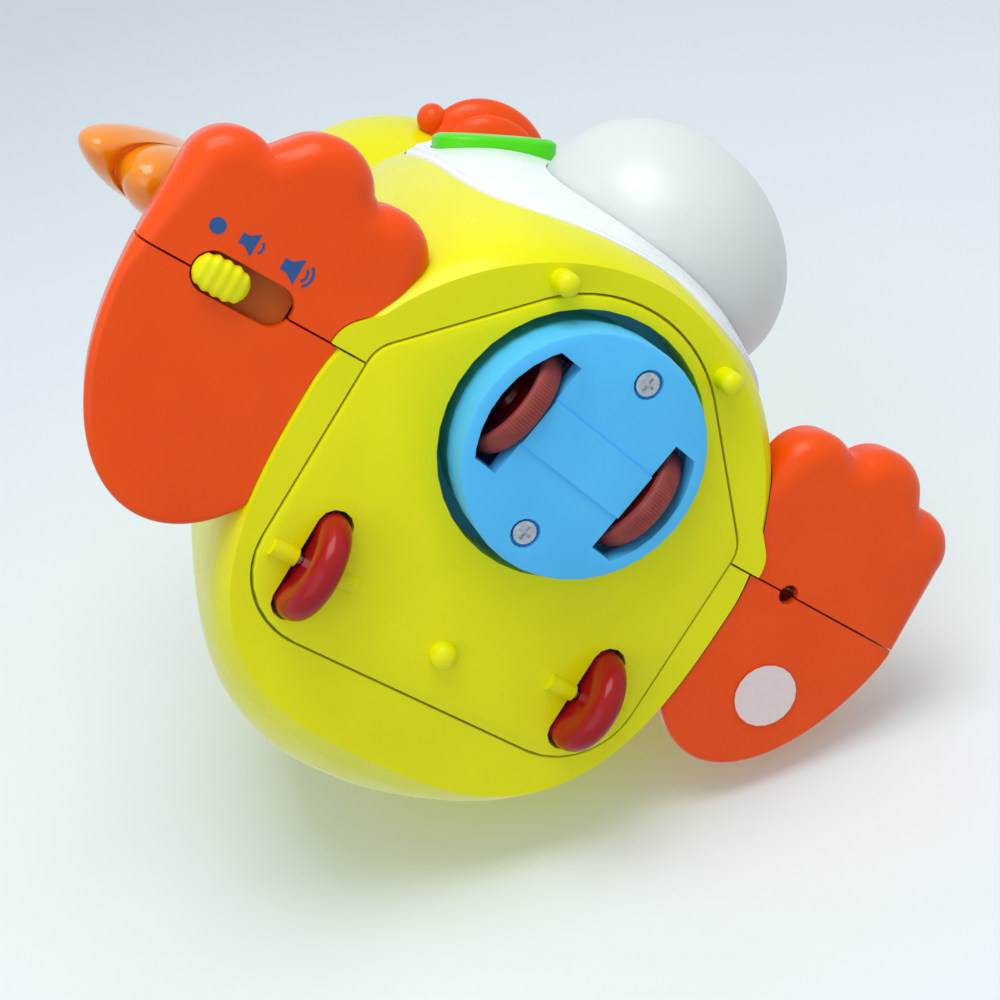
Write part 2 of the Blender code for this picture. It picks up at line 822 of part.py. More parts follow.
def cover_window(grow=0.0):
    return rounded_rectangle(
        COVER_HALF_WIDTH + grow, COVER_LOW - grow, COVER_HIGH + grow, COVER_ROUND + grow
    )


def head_centre():
    return at(0, 0, HEAD_UP)


def foot_centre(side):
    """The foot's own centre: the left foot stands a little ahead of the right one."""
    return (side * FOOT_SIDE, FOOT_BACK - side * FOOT_STEP)


def foot_outline():
    """Round the foot from its outer side by the heel and the inner side to the toes, outwards +X."""
    points = []
    heel_count = 16
    for i in range(heel_count):
        angle = math.pi * i / (heel_count - 1)
        points.append((FOOT_HALF_WIDTH * math.cos(angle), FOOT_REAR_LENGTH * math.sin(angle)))
    for index in (2, 1, 0):
        x, forward, radius = TOE_PLACES[index]
        start, end = TOE_ARCS[index]
        points += arc((x, -forward), radius, math.radians(start), math.radians(end), 7)
    return points


def inward(points, depth):
    """The outline drawn in: depth gives each point's own distance."""
    count = len(points)
    result = []
    for i, (x, y) in enumerate(points):
        px, py = points[i - 1]
        nx, ny = points[(i + 1) % count]
        direction = Vector((nx - px, ny - py)).normalized()
        result.append((x - direction.y * depth[i], y + direction.x * depth[i]))
    return result


def toe_share(y):
    """1 on the toes, 0 on the heel, and smooth between."""
    share = min(1.0, max(0.0, (-y + FOOT_HALF_WIDTH / 6) / (FOOT_HALF_WIDTH / 2)))
    return share * share * (3 - 2 * share)


def foot_solid(side):
    outline = foot_outline()
    toes = [toe_share(y) for _, y in outline]
    rounds = [HEEL_EDGE_ROUND + (TOE_EDGE_ROUND - HEEL_EDGE_ROUND) * t for t in toes]
    edges = [HEEL_EDGE_HEIGHT + (TOE_EDGE_HEIGHT - HEEL_EDGE_HEIGHT) * t for t in toes]
    levels = []
    for angle in (0, math.pi / 6, math.pi / 3, math.pi / 2):
        ring = inward(outline, [r * (1 - math.sin(angle)) for r in rounds])
        levels.append([(x, y, r * (1 - math.cos(angle))) for (x, y), r in zip(ring, rounds)])
    for reach, rise in ((0.93, 0.35), (0.75, 0.62), (0.45, 0.9), (0.15, 1.0)):
        levels.append(
            [
                (x * reach, y * reach, edge + (FOOT_TOP - edge) * rise)
                for (x, y), edge in zip(outline, edges)
            ]
        )
    cx, cy = foot_centre(side)
    turn = LEFT_FOOT_TURN if side > 0 else 0.0
    c, s = math.cos(turn), math.sin(turn)
    rings = []
    for level in levels:
        rings.append(
            [
                at(cx + side * (x * c - y * s), cy + x * s + y * c, FOOT_UP + z)
                for x, y, z in level
            ]
        )
    return loft(rings, "foot")


def foot_cavity(side):
    cx, cy = foot_centre(side)
    count = 28
    points = [
        (
            cx + FOOT_CAVITY_HALF_WIDTH * math.cos(math.tau * i / count),
            cy + FOOT_HALF_WIDTH / 9 + FOOT_CAVITY_HALF_LENGTH * math.sin(math.tau * i / count),
        )
        for i in range(count)
    ]
    low = FOOT_UP + FOOT_FLOOR
    return slab_flat(points, low, low + FOOT_CAVITY_HEIGHT, "foot_cavity")


def front_region(back=SEAM_BACK - SEAM_GAP / 2):
    return box(at(-SPAN, -SPAN, -SPAN), at(SPAN, back, SPAN))


def rear_region(front=SEAM_BACK + SEAM_GAP / 2):
    return box(at(-SPAN, front, -SPAN), at(SPAN, SPAN, SPAN))


def seat_ball(extra):
    radii = [HEAD_RADIUS + extra] * 3
    return ellipsoid(head_centre(), radii, "seat_ball", sides=32, rows=16)


def globe_place():
    """The globe's own frame: its local Z points out of the chest."""
    turn = Matrix.Rotation(GLOBE_TURN, 4, "Z") @ FACING_FRONT
    return Matrix.Translation(at(GLOBE_SIDE, -GLOBE_FORWARD, GLOBE_UP)) @ turn


def globe_form(extra=0.0, sides=26, rows=13):
    radii = (GLOBE_RADIUS + extra, GLOBE_RADIUS + extra, GLOBE_DEPTH + extra)
    made = ellipsoid((0, 0, 0), radii, "globe_form", sides=sides, rows=rows)
    made.data.transform(globe_place())
    return made


def button_place():
    """The music button's own frame: its local Z points out of the chest."""
    turn = Matrix.Rotation(BUTTON_TURN, 4, "Z") @ Matrix.Rotation(BUTTON_LEAN, 4, "X") @ FACING_FRONT
    return Matrix.Translation(at(-BUTTON_SIDE, -BUTTON_FACE, BUTTON_UP)) @ turn


def button_outline(grow=0.0, count=20):
    points = []
    for i in range(count):
        c, s = math.cos(math.tau * i / count), math.sin(math.tau * i / count)
        power = 2 / BUTTON_SQUARENESS
        x = (BUTTON_HALF_WIDTH + grow) * math.copysign(abs(c) ** power, c)
        y = (BUTTON_HALF_HEIGHT + grow) * math.copysign(abs(s) ** power, s)
        points.append((x, y))
    return points


def button_prism(grow, low, high, name="button_prism"):
    middle = Matrix.Translation((0, 0, (low + high) / 2))
    made = flat_shape(button_outline(grow), high - low, middle, name)
    made.data.transform(button_place())
    return made


def speaker_place():
    """The speaker's own frame: its local Z points out through the back."""
    turn = Matrix.Rotation(SPEAKER_TILT, 4, "X") @ Matrix.Rotation(-math.pi / 2, 4, "X")
    return Matrix.Translation(at(0, SPEAKER_BACK, SPEAKER_UP)) @ turn


def speaker_rod(radius, low, high, sides=20):
    made = rod((0, 0, low), (0, 0, high), radius, sides=sides)
    made.data.transform(speaker_place())
    return made


SHELL_SCREWS = {
    "right": (-SHELL_SCREW_SIDE, SHELL_SCREW_UP),
    "left": (SHELL_SCREW_SIDE, SHELL_SCREW_UP),
}


def along_body(x, up, front, back, radius, sides=12):
    return rod(at(x, front, up), at(x, back, up), radius, sides=sides)


def add_screw_bosses(whole):
    """Bosses in front of the seam, and tubes behind it that the screws go in by."""
    for x, up in SHELL_SCREWS.values():
        boss = along_body(x, up, SEAM_BACK - SCREW_BOSS_REACH, SEAM_BACK, SCREW_BOSS_RADIUS)
        join(whole, keep(boss, body_solid(WALL / 2)))
        tube = along_body(x, up, SEAM_BACK, BODY_REAR, SCREW_POCKET_RADIUS + WALL * 0.7)
        join(whole, keep(tube, body_solid(WALL / 2)))
    for x, up in SHELL_SCREWS.values():
        head_seat = SEAM_BACK + SEAM_GAP / 2 + SCREW_WEB
        cut(whole, along_body(x, up, head_seat, BODY_REAR + OVERRUN, SCREW_POCKET_RADIUS))
        reach = SEAM_BACK - SCREW_SHANK_REACH - GAP
        cut(whole, along_body(x, up, reach, head_seat + OVERRUN, SCREW_SHANK_RADIUS + GAP))


def add_wing_seats(whole):
    """A slot in each side for the wing's arm, with a bored boss on both sides of it."""
    half = WING_HUB_HALF + WING_SLOT_CLEARANCE
    for side in (1, -1):
        edges = sorted((side * (WING_PIVOT_SIDE - WING_HUB_RADIUS), side * BODY_HALF_WIDTH))
        low = at(edges[0], SEAM_BACK - half, WING_PIVOT_UP - WING_SLOT_LOW)
        high = at(edges[1], SEAM_BACK + half, WING_PIVOT_UP + WING_SLOT_HIGH)
        cut(whole, box(low, high))
        x = side * WING_PIVOT_SIDE
        for direction in (1, -1):
            near = SEAM_BACK + direction * (half + GAP)
            far = near + direction * PIVOT_BOSS_LENGTH
            boss = along_body(x, WING_PIVOT_UP, near, far, PIVOT_BOSS_RADIUS)
            join(whole, keep(boss, body_solid(WALL / 2)))
            reach = SEAM_BACK + direction * (WING_PIN_HALF + GAP)
            cut(whole, along_body(x, WING_PIVOT_UP, SEAM_BACK, reach, WING_PIN_RADIUS + GAP))


def nub(x, y, level, radius, height, root):
    """A round-ended nub that hangs below a level, with a root that goes into its carrier."""
    dome = radius * 0.8
    profile = [(0, root), (radius, root)]
    for angle in [math.pi / 10 * i for i in range(5)]:
        across, down = radius * math.cos(angle), dome * math.sin(angle)
        profile.append((across, dome - height - down))
    profile.append((0, -height))
    return turned(profile, Matrix.Translation(at(x, y, level)), "nub", steps=14)


def body_shells():
    """The yellow body: a hollow form, cut into a front and a rear shell."""
    whole = body_solid()
    join(whole, rim_corner(1), rim_corner(-1))
    tail_radii = (TAIL_WIDTH, TAIL_LENGTH, TAIL_THICK)
    tail_turn = Matrix.Rotation(TAIL_TILT, 4, "X")
    join(whole, ellipsoid(at(0, TAIL_BACK, TAIL_UP), tail_radii, turn=tail_turn, sides=18, rows=9))
    cut(whole, body_solid(WALL))
    ring_top = BODY_HEIGHT - WALL / 2
    join(whole, rod(at(0, 0, NECK_RING_BOTTOM), at(0, 0, ring_top), NECK_RING_RADIUS, sides=24))
    cut(whole, rod(at(0, 0, NECK_RING_BOTTOM - OVERRUN), at(0, 0, BODY_HEIGHT + OVERRUN),
                   NECK_HOLE_RADIUS, sides=36))
    cut(whole, seat_ball(SEAT_CLEARANCE))
    cut(whole, slab_flat(plate_outline(PLATE_GAP), -OVERRUN, RIM_THICK + OVERRUN))
    collar_out = SPEAKER_RADIUS + GAP + SPEAKER_COLLAR_WALL
    collar = speaker_rod(collar_out, -SPEAKER_COLLAR_DEPTH, SPEAKER_RADIUS)
    cut(collar, speaker_rod(SPEAKER_RADIUS + GAP, -SPEAKER_RADIUS, BODY_REAR))
    join(whole, keep(collar, body_solid(WALL / 2)))
    add_screw_bosses(whole)
    add_wing_seats(whole)
    for side in (1, -1):
        post = along_body(side * WORKS_POST_SIDE, WORKS_POST_UP, WORKS_BACK + GAP, BODY_REAR,
                          WORKS_POST_RADIUS)
        join(whole, keep(post, body_solid(WALL / 2)))
        floor = BODY_SHARES[0][0] * BODY_HEIGHT
        join(whole, nub(side * NUB_SIDE, -NUB_FORWARD, floor, NUB_RADIUS, NUB_HEIGHT, RIM_THICK / 3))
    cut(whole, slab_across(panel_window(GAP), -SPAN / 2, -BODY_FRONT / 3, "panel_hole"))
    cut(whole, globe_form(GAP))
    cut(whole, slab_across(cover_window(COVER_GAP), BODY_REAR / 2, SPAN / 2, "cover_hole"))
    for i in range(GRILLE_SLOTS):
        middle = (i - (GRILLE_SLOTS - 1) / 2) * GRILLE_PITCH
        half = GRILLE_SLOT_HEIGHT / 2
        slot = box((-GRILLE_HALF_WIDTH, middle - half, 0), (GRILLE_HALF_WIDTH, middle + half, BODY_REAR))
        slot.data.transform(speaker_place())
        cut(whole, slot)
    front = keep(copy_of(whole), front_region())
    rear = keep(whole, rear_region())
    finished(front, "front_body_shell", YELLOW)
    finished(rear, "rear_body_shell", YELLOW)


def shell_screws():
    """Two screws that go in from the back and pull the two body shells together."""
    seat = SEAM_BACK + SEAM_GAP / 2 + SCREW_WEB + GAP
    for label, (x, up) in SHELL_SCREWS.items():
        one = screw_form(
            at(x, seat, up), (0, -1, 0), SCREW_HEAD_RADIUS, SCREW_HEAD_THICK, SCREW_SHANK_RADIUS,
            SCREW_SHANK_REACH + seat - SEAM_BACK,
        )
        finished(one, "shell_screw_" + label, STEEL)


def screw_form(seat, direction, head_radius, head_thick, shank_radius, length):
    """A pan head above its seat, with a cross recess, and a shank along direction."""
    direction = Vector(direction).normalized()
    head = rod(seat - direction * head_thick, seat, head_radius, sides=16)
    join(head, rod(seat - direction * head_thick / 3, seat + direction * length, shank_radius,
                   sides=8))
    place = Matrix.Translation(seat - direction * head_thick) @ turned_to(direction)
    arm, width, depth = head_radius * 0.62, head_radius * 0.13, head_thick * 0.55
    for long_x, long_y in ((arm, width), (width, arm)):
        slot = box((-long_x, -long_y, -head_thick), (long_x, long_y, depth))
        slot.data.transform(place)
        cut(head, slot)
    return head


def rounded_slab(points, low, high, round_low):
    """A slab whose lower edge is rounded."""
    rings = []
    for angle in (0, math.pi / 4, math.pi / 2):
        depth = round_low * (1 - math.sin(angle))
        ring = inward(points, [depth] * len(points))
        rings.append([at(x, y, low + round_low * (1 - math.cos(angle))) for x, y in ring])
    rings.append([at(x, y, high) for x, y in points])
    return loft(rings, "rounded_slab")


def retainer_post(x, y):
    """A post of the plate, with a peg on it whose end is staked over the retainer."""
    low = PLATE_THICK * 0.4
    peg_top = HOUSING_TOP + RETAINER_THICK + 2 * GAP
    head_top = peg_top + STAKE_THICK
    profile = [(0, low), (RETAINER_POST_RADIUS, low), (RETAINER_POST_RADIUS, HOUSING_TOP)]
    profile += [(STAKE_RADIUS, HOUSING_TOP), (STAKE_RADIUS, peg_top)]
    profile += [(STAKE_HEAD_RADIUS, peg_top), (STAKE_HEAD_RADIUS, head_top), (0, head_top)]
    return turned(profile, Matrix.Translation(at(x, y, 0)), "post", steps=8)


def base_plate():
    """The plate under the body, with its collar, wheel slots, axle channels and posts."""
    plate = rounded_slab(plate_outline(), 0, PLATE_THICK + PLATE_EDGE_ROUND, PLATE_EDGE_ROUND)
    lip_low = BODY_SHARES[0][0] * BODY_HEIGHT + WALL + GAP
    join(plate, slab_flat(plate_outline(PLATE_LIP), lip_low, lip_low + PLATE_LIP_THICK))
    plate_top = lip_low + PLATE_LIP_THICK
    collar = rod(at(0, 0, PLATE_THICK / 2), at(0, 0, COLLAR_TOP), DISC_HOLE_RADIUS + COLLAR_WALL,
                 sides=40)
    join(plate, keep(collar, body_solid(WALL + GAP)))
    for side in (1, -1):
        for x, y in RETAINER_POSTS:
            join(plate, retainer_post(side * x, y))
        ends = [at(side * x, REAR_WHEEL_BACK, 0) for x in (REAR_AXLE_INNER, REAR_AXLE_OUTER)]
        join(plate, rod(ends[0], ends[1], BUMP_RADIUS, sides=20))
    join(plate, nub(0, REAR_NUB_BACK, 0, REAR_NUB_RADIUS, REAR_NUB_HEIGHT, PLATE_THICK / 2))
    cut(plate, rod(at(0, 0, -OVERRUN), at(0, 0, COLLAR_TOP + OVERRUN), DISC_HOLE_RADIUS, sides=36))
    for side in (1, -1):
        slot = moved(pill(REAR_SLOT_LENGTH, REAR_SLOT_WIDTH), side * REAR_WHEEL_SIDE, REAR_WHEEL_BACK)
        cut(plate, slab_flat(slot, -BUMP_RADIUS - OVERRUN, plate_top + OVERRUN))
        reach = GAP + REAR_AXLE_RADIUS
        inner, outer = side * (REAR_AXLE_INNER + reach), side * (REAR_AXLE_OUTER - reach)
        channel = arc((0, 0), reach, math.pi, math.tau, 9)
        channel += [(reach, plate_top + OVERRUN), (-reach, plate_top + OVERRUN)]
        middle = Matrix.Translation(at((inner + outer) / 2, REAR_WHEEL_BACK, 0))
        cut(plate, flat_shape(channel, abs(outer - inner), middle @ FACING_SIDE))
    finished(plate, "base_plate", YELLOW)


RETAINER_POSTS = [
    (RETAINER_SIDE, -RETAINER_SIDE_FORWARD),
    (RETAINER_REAR_SIDE, RETAINER_REAR),
]


def rear_wheels():
    """Two free-rolling wheels, each on a steel pin that lies in the plate's channel."""
    lip_top = BODY_SHARES[0][0] * BODY_HEIGHT + WALL + GAP + PLATE_LIP_THICK
    for side, label in ((-1, "right"), (1, "left")):
        middle = at(side * REAR_WHEEL_SIDE, REAR_WHEEL_BACK, 0)
        along_x = Matrix.Translation(middle) @ Matrix.Rotation(math.pi / 2, 4, "Y")
        half = REAR_WHEEL_WIDTH / 2
        crown = REAR_WHEEL_RADIUS - half
        bore = REAR_AXLE_RADIUS + GAP
        profile = [(bore, half * 0.8), (crown * 0.55, half * 0.8), (crown * 0.7, half)]
        count = 5
        for i in range(count):
            angle = math.pi / 2 - math.pi * i / (count - 1)
            profile.append((crown + half * math.cos(angle), half * math.sin(angle)))
        profile += [(crown * 0.7, -half), (crown * 0.55, -half * 0.8), (bore, -half * 0.8)]
        wheel = turned(profile, along_x, "rear_wheel", steps=20)
        finished(wheel, "rear_wheel_" + label, RED, middle)
        reach = REAR_AXLE_RADIUS + 2 * GAP
        start = at(side * (REAR_AXLE_INNER + reach), REAR_WHEEL_BACK, 0)
        end = at(side * (REAR_AXLE_OUTER - reach), REAR_WHEEL_BACK, 0)
        axle = rod(start, end, REAR_AXLE_RADIUS, sides=16)
        finished(axle, "rear_axle_" + label, STEEL)
        finished(rear_wheel_cover(side, lip_top + GAP), "rear_wheel_cover_" + label, WHITE)


def rear_wheel_cover(side, low):
    """A small hood inside the body that keeps the wheel and its pin in place."""
    inner_width = REAR_SLOT_WIDTH
    inner_length = REAR_SLOT_LENGTH
    inner_top = REAR_WHEEL_RADIUS + WHEEL_COVER_CLEARANCE
    twice = 2 * WHEEL_COVER_WALL
    x, y = side * REAR_WHEEL_SIDE, REAR_WHEEL_BACK
    outline = moved(pill(inner_length + twice, inner_width + twice), x, y)
    cover = slab_flat(outline, low, inner_top + WHEEL_COVER_WALL)
    tongue_half = REAR_AXLE_RADIUS
    tongue_low = REAR_AXLE_RADIUS + GAP
    for edge in (x - inner_width / 2 - twice, x + inner_width / 2):
        join(cover, box(at(edge, y - tongue_half, tongue_low),
                        at(edge + twice, y + tongue_half, low + WHEEL_COVER_TONGUE)))
    cut(cover, slab_flat(moved(pill(inner_length, inner_width), x, y), -PLATE_THICK, inner_top))
    return cover


DRIVE_PLACE = Matrix.Translation(at(0, 0, 0)) @ Matrix.Rotation(DRIVE_TURN, 4, "Z")


def in_drive(item):
    item.data.transform(DRIVE_PLACE)
    return item


def drive_cap():
    """The blue cap under the drive unit, with two wheel slots and two sunk screws."""
    inner_face = CAP_WALL - CAP_DROP
    profile = [(CAP_RADIUS, CAP_TOP)]
    count = 3
    for i in range(count):
        angle = math.pi / 2 * i / (count - 1)
        across = CAP_RADIUS - CAP_ROUND * (1 - math.cos(angle))
        profile.append((across, -CAP_DROP + CAP_ROUND * (1 - math.sin(angle))))
    profile += [(0, -CAP_DROP), (0, inner_face), (CAP_RADIUS - CAP_WALL, inner_face)]
    profile.append((CAP_RADIUS - CAP_WALL, CAP_TOP))
    cap = turned(profile, Matrix.Identity(4), "cap", steps=36)
    band = box(
        (-WHEEL_SLOT_INNER - OVERRUN, -BAND_HALF_WIDTH, -CAP_DROP - BAND_RISE),
        (WHEEL_SLOT_INNER + OVERRUN, BAND_HALF_WIDTH, inner_face - BAND_RISE),
    )
    join(cap, band)
    pad_top = -CAP_DROP + DRIVE_SCREW_SINK + SMALL_SCREW_HEAD_THICK + CAP_WALL
    well_inner, well_half = WHEEL_SLOT_INNER - WELL_WALL, WHEEL_SLOT_HALF + WELL_WALL
    well_radius = CAP_RADIUS - CAP_WALL / 2
    for side in (1, -1):
        edges = sorted((side * well_inner, side * CAP_RADIUS))
        well = box((edges[0], -well_half, inner_face - GAP), (edges[1], well_half, WELL_TOP))
        keep(well, rod((0, 0, -CAP_DROP), (0, 0, CAP_TOP), well_radius, sides=36))
        join(cap, well)
        y = side * DRIVE_SCREW_PLACE
        join(cap, rod((0, y, inner_face - GAP), (0, y, pad_top), DRIVE_BOSS_RADIUS))
        pocket_top = pad_top - CAP_WALL
        cut(cap, rod((0, y, -CAP_DROP - OVERRUN), (0, y, pocket_top), DRIVE_SCREW_POCKET))
        hole = SCREW_SHANK_RADIUS + GAP
        cut(cap, rod((0, y, pocket_top - GAP), (0, y, pad_top + OVERRUN), hole, sides=16))
        slot = box((WHEEL_SLOT_INNER, -WHEEL_SLOT_HALF, -CAP_DROP - OVERRUN),
                   (CAP_RADIUS + OVERRUN, WHEEL_SLOT_HALF, CAP_TOP))
        if side < 0:
            slot.data.transform(Matrix.Rotation(math.pi, 4, "Z"))
        keep(slot, rod((0, 0, -CAP_DROP - 2 * OVERRUN), (0, 0, CAP_TOP), WHEEL_SLOT_RADIUS, sides=36))
        cut(cap, slot)
    for x in (MOTOR_RIB_PLACE, -MOTOR_RIB_PLACE):
        rib = box(
            (x - MOTOR_RIB_HALF, -DRIVE_MOTOR_FORWARD - MOTOR_RADIUS * 0.8, inner_face - GAP),
            (x + MOTOR_RIB_HALF, -DRIVE_MOTOR_FORWARD + MOTOR_RADIUS * 0.8, MOTOR_UP),
        )
        cut(rib, motor_body_form(GAP))
        join(cap, rib)
    finished(in_drive(cap), "drive_cap", BLUE)
    return pad_top


def motor_body_form(extra):
    half = MOTOR_LENGTH / 2 + extra
    y, z = -DRIVE_MOTOR_FORWARD, MOTOR_UP
    return rod((-half, y, z), (half, y, z), MOTOR_RADIUS + extra, sides=16)


def drive_housing(pad_top):
    """The turning case above the cap; its flange rides on the plate's collar."""
    low = CAP_TOP + GAP
    ceiling = HOUSING_TOP - HOUSING_WALL
    flange_low = COLLAR_TOP + GAP
    profile = [
        (0, HOUSING_TOP),
        (HOUSING_RADIUS, HOUSING_TOP),
        (HOUSING_RADIUS, flange_low + HOUSING_FLANGE_THICK),
        (HOUSING_FLANGE_RADIUS, flange_low + HOUSING_FLANGE_THICK),
        (HOUSING_FLANGE_RADIUS, flange_low),
        (HOUSING_RADIUS, flange_low),
        (HOUSING_RADIUS, low),
        (HOUSING_RADIUS - HOUSING_WALL, low),
        (HOUSING_RADIUS - HOUSING_WALL, ceiling),
        (0, ceiling),
    ]
    housing = turned(profile, Matrix.Identity(4), "housing", steps=24)
    join(housing, rod((0, 0, ceiling + GAP), (0, 0, SPIGOT_TOP), SPIGOT_RADIUS))
    hole = SCREW_SHANK_RADIUS + GAP
    for side in (1, -1):
        y = side * DRIVE_SCREW_PLACE
        join(housing, rod((0, y, pad_top + GAP), (0, y, ceiling + GAP), DRIVE_BOSS_RADIUS))
        cut(housing, rod((0, y, pad_top - OVERRUN), (0, y, ceiling - HOUSING_WALL), hole, sides=16))
        x = side * AXLE_BEARING_PLACE
        bearing = box(
            (x - AXLE_BEARING_HALF, -DRIVE_AXLE_RADIUS * 4, DRIVE_AXLE_UP - DRIVE_AXLE_RADIUS * 3),
            (x + AXLE_BEARING_HALF, DRIVE_AXLE_RADIUS * 4, ceiling + GAP),
        )
        bore = DRIVE_AXLE_RADIUS + GAP
        cut(bearing, rod((x - OVERRUN, 0, DRIVE_AXLE_UP), (x + OVERRUN, 0, DRIVE_AXLE_UP), bore))
        join(housing, bearing)
        x = side * MOTOR_RIB_PLACE
        saddle = box(
            (x - MOTOR_RIB_HALF, -DRIVE_MOTOR_FORWARD - MOTOR_RADIUS * 0.8, MOTOR_UP + MOTOR_RADIUS / 3),
            (x + MOTOR_RIB_HALF, -DRIVE_MOTOR_FORWARD + MOTOR_RADIUS * 0.8, ceiling + GAP),
        )
        cut(saddle, motor_body_form(GAP))
        join(housing, saddle)
    finished(in_drive(housing), "drive_housing", BLUE)


def drive_screws():
    seat = -CAP_DROP + DRIVE_SCREW_SINK + SMALL_SCREW_HEAD_THICK - GAP / 2
    for side, label in ((-1, "front"), (1, "rear")):
        one = screw_form(
            Vector((0, side * DRIVE_SCREW_PLACE, seat)), (0, 0, 1), DRIVE_SCREW_HEAD,
            SMALL_SCREW_HEAD_THICK, SCREW_SHANK_RADIUS, HOUSING_TOP / 2 - seat,
        )
        finished(in_drive(one), "drive_screw_" + label, STEEL)


def gear_outline(teeth, turn):
    """Straight-sided teeth at the given module."""
    pitch = GEAR_MODULE * teeth / 2
    root, tip = pitch - GEAR_MODULE * 1.15, pitch + GEAR_MODULE * 0.85
    points = []
    for i in range(teeth):
        middle = turn + math.tau * i / teeth
        for radius, half_share in ((root, -0.29), (tip, -0.10), (tip, 0.10), (root, 0.29)):
            angle = middle + half_share * math.tau / teeth
            points.append((radius * math.cos(angle), radius * math.sin(angle)))
    return points


def drive_train():
    """Motor, pinion, axle gear, axle and the two knurled drive wheels."""
    motor = motor_body_form(0.0)
    y, z = -DRIVE_MOTOR_FORWARD, MOTOR_UP
    half = MOTOR_LENGTH / 2
    nose = -half - MOTOR_BOSS_LENGTH
    join(motor, rod((nose, y, z), (-half + GAP, y, z), MOTOR_BOSS_RADIUS, sides=18))
    shaft_end = -half + MOTOR_RADIUS / 3
    cut(motor, rod((nose - OVERRUN, y, z), (shaft_end, y, z), MOTOR_SHAFT_RADIUS + GAP, sides=12))
    finished(in_drive(motor), "drive_motor", STEEL)

    across = Matrix.Rotation(math.pi / 2, 4, "Y")
    mesh_angle = math.atan2(-DRIVE_MOTOR_FORWARD, -(MOTOR_UP - DRIVE_AXLE_UP))
    gear_place = Matrix.Translation((-GEAR_PLACE, 0, DRIVE_AXLE_UP)) @ across
    gear = flat_shape(gear_outline(GEAR_TEETH, mesh_angle), GEAR_WIDTH, gear_place, "gear")
    bore = DRIVE_AXLE_RADIUS + GAP
    cut(gear, rod((-GEAR_PLACE - OVERRUN, 0, DRIVE_AXLE_UP), (-GEAR_PLACE + OVERRUN, 0, DRIVE_AXLE_UP),
                  bore))
    drive_pivot = DRIVE_PLACE @ Vector((0, 0, DRIVE_AXLE_UP))
    finished(in_drive(gear), "axle_gear", WHITE, drive_pivot)

    pinion_place = Matrix.Translation((-GEAR_PLACE, y, z)) @ across
    half_tooth = math.pi / PINION_TEETH
    outline = gear_outline(PINION_TEETH, mesh_angle + math.pi + half_tooth)
    pinion = flat_shape(outline, GEAR_WIDTH, pinion_place, "pinion")
    join(pinion, rod((-GEAR_PLACE - GEAR_WIDTH / 4, y, z), (shaft_end - GAP, y, z),
                     MOTOR_SHAFT_RADIUS, sides=12))
    pinion_pivot = DRIVE_PLACE @ Vector((0, y, z))
    finished(in_drive(pinion), "motor_pinion", WHITE, pinion_pivot)

    reach = DRIVE_WHEEL_OUTER - GAP
    axle = rod((-reach, 0, DRIVE_AXLE_UP), (reach, 0, DRIVE_AXLE_UP), DRIVE_AXLE_RADIUS, sides=20)
    finished(in_drive(axle), "drive_axle", STEEL, drive_pivot)
    for side, label in ((-1, "right"), (1, "left")):
        wheel = drive_wheel(side)
        finished(in_drive(wheel), "drive_wheel_" + label, MAROON, drive_pivot)


def drive_wheel(side):
    """A wheel with a finely ribbed tread and a dished outer side."""
    thick = DRIVE_WHEEL_OUTER - DRIVE_WHEEL_INNER
    middle = side * (DRIVE_WHEEL_INNER + DRIVE_WHEEL_OUTER) / 2
    points = []
    for i in range(2 * KNURL_COUNT):
        angle = math.tau * (i + 0.5) / (2 * KNURL_COUNT)
        radius = DRIVE_WHEEL_RADIUS - KNURL_DEPTH * (i % 2)
        points.append((radius * math.cos(angle), radius * math.sin(angle)))
    place = Matrix.Translation((middle, 0, DRIVE_AXLE_UP)) @ Matrix.Rotation(math.pi / 2, 4, "Y")
    wheel = flat_shape(points, thick, place, "wheel")
    outer = side * DRIVE_WHEEL_OUTER
    dish_radius = DRIVE_WHEEL_RADIUS * 0.8
    cut(wheel, rod((outer - side * DRIVE_WHEEL_DISH, 0, DRIVE_AXLE_UP),
                   (outer + side * OVERRUN, 0, DRIVE_AXLE_UP), dish_radius, sides=24))
    hub_radius = DRIVE_AXLE_RADIUS * 2.4
    join(wheel, rod((middle, 0, DRIVE_AXLE_UP), (outer, 0, DRIVE_AXLE_UP), hub_radius, sides=20))
    cut(wheel, rod((middle - side * thick, 0, DRIVE_AXLE_UP), (middle + side * thick, 0, DRIVE_AXLE_UP),
                   DRIVE_AXLE_RADIUS + GAP, sides=20))
    return wheel


def drive_retainer():
    """The bridge that holds the drive unit in the plate, on staked pegs, and carries the circuit board."""
    low = HOUSING_TOP + GAP
    high = low + RETAINER_THICK
    side, rear_side = RETAINER_SIDE + RETAINER_POST_RADIUS, RETAINER_REAR_SIDE + RETAINER_POST_RADIUS
    near, rear = RETAINER_SIDE_FORWARD + RETAINER_POST_RADIUS, RETAINER_REAR + RETAINER_POST_RADIUS
    half = [(RETAINER_FRONT, -RETAINER_FRONT), (side, -near), (side, near), (rear_side, rear)]
    outline = half + [(-x, y) for x, y in reversed(half)]
    plate = slab_flat(outline, low, high)
    bore = SPIGOT_RADIUS + SPIGOT_CLEARANCE
    cut(plate, rod(at(0, 0, low - OVERRUN), at(0, 0, high + OVERRUN), bore))
    for direction in (1, -1):
        for x, y in RETAINER_POSTS:
            cut(plate, rod(at(direction * x, y, low - OVERRUN), at(direction * x, y, high + OVERRUN),
                           STAKE_RADIUS + GAP, sides=10))
        for y in (BOARD_PEG_BACK, -BOARD_PEG_FORWARD):
            x = direction * BOARD_PEG_SIDE
            join(plate, rod(at(x, y, high - RETAINER_THICK / 2), at(x, y, high + BOARD_LIFT),
                            BOARD_POST_RADIUS, sides=10))
    finished(plate, "drive_retainer", WHITE)
    circuit_board(high + BOARD_LIFT + GAP)


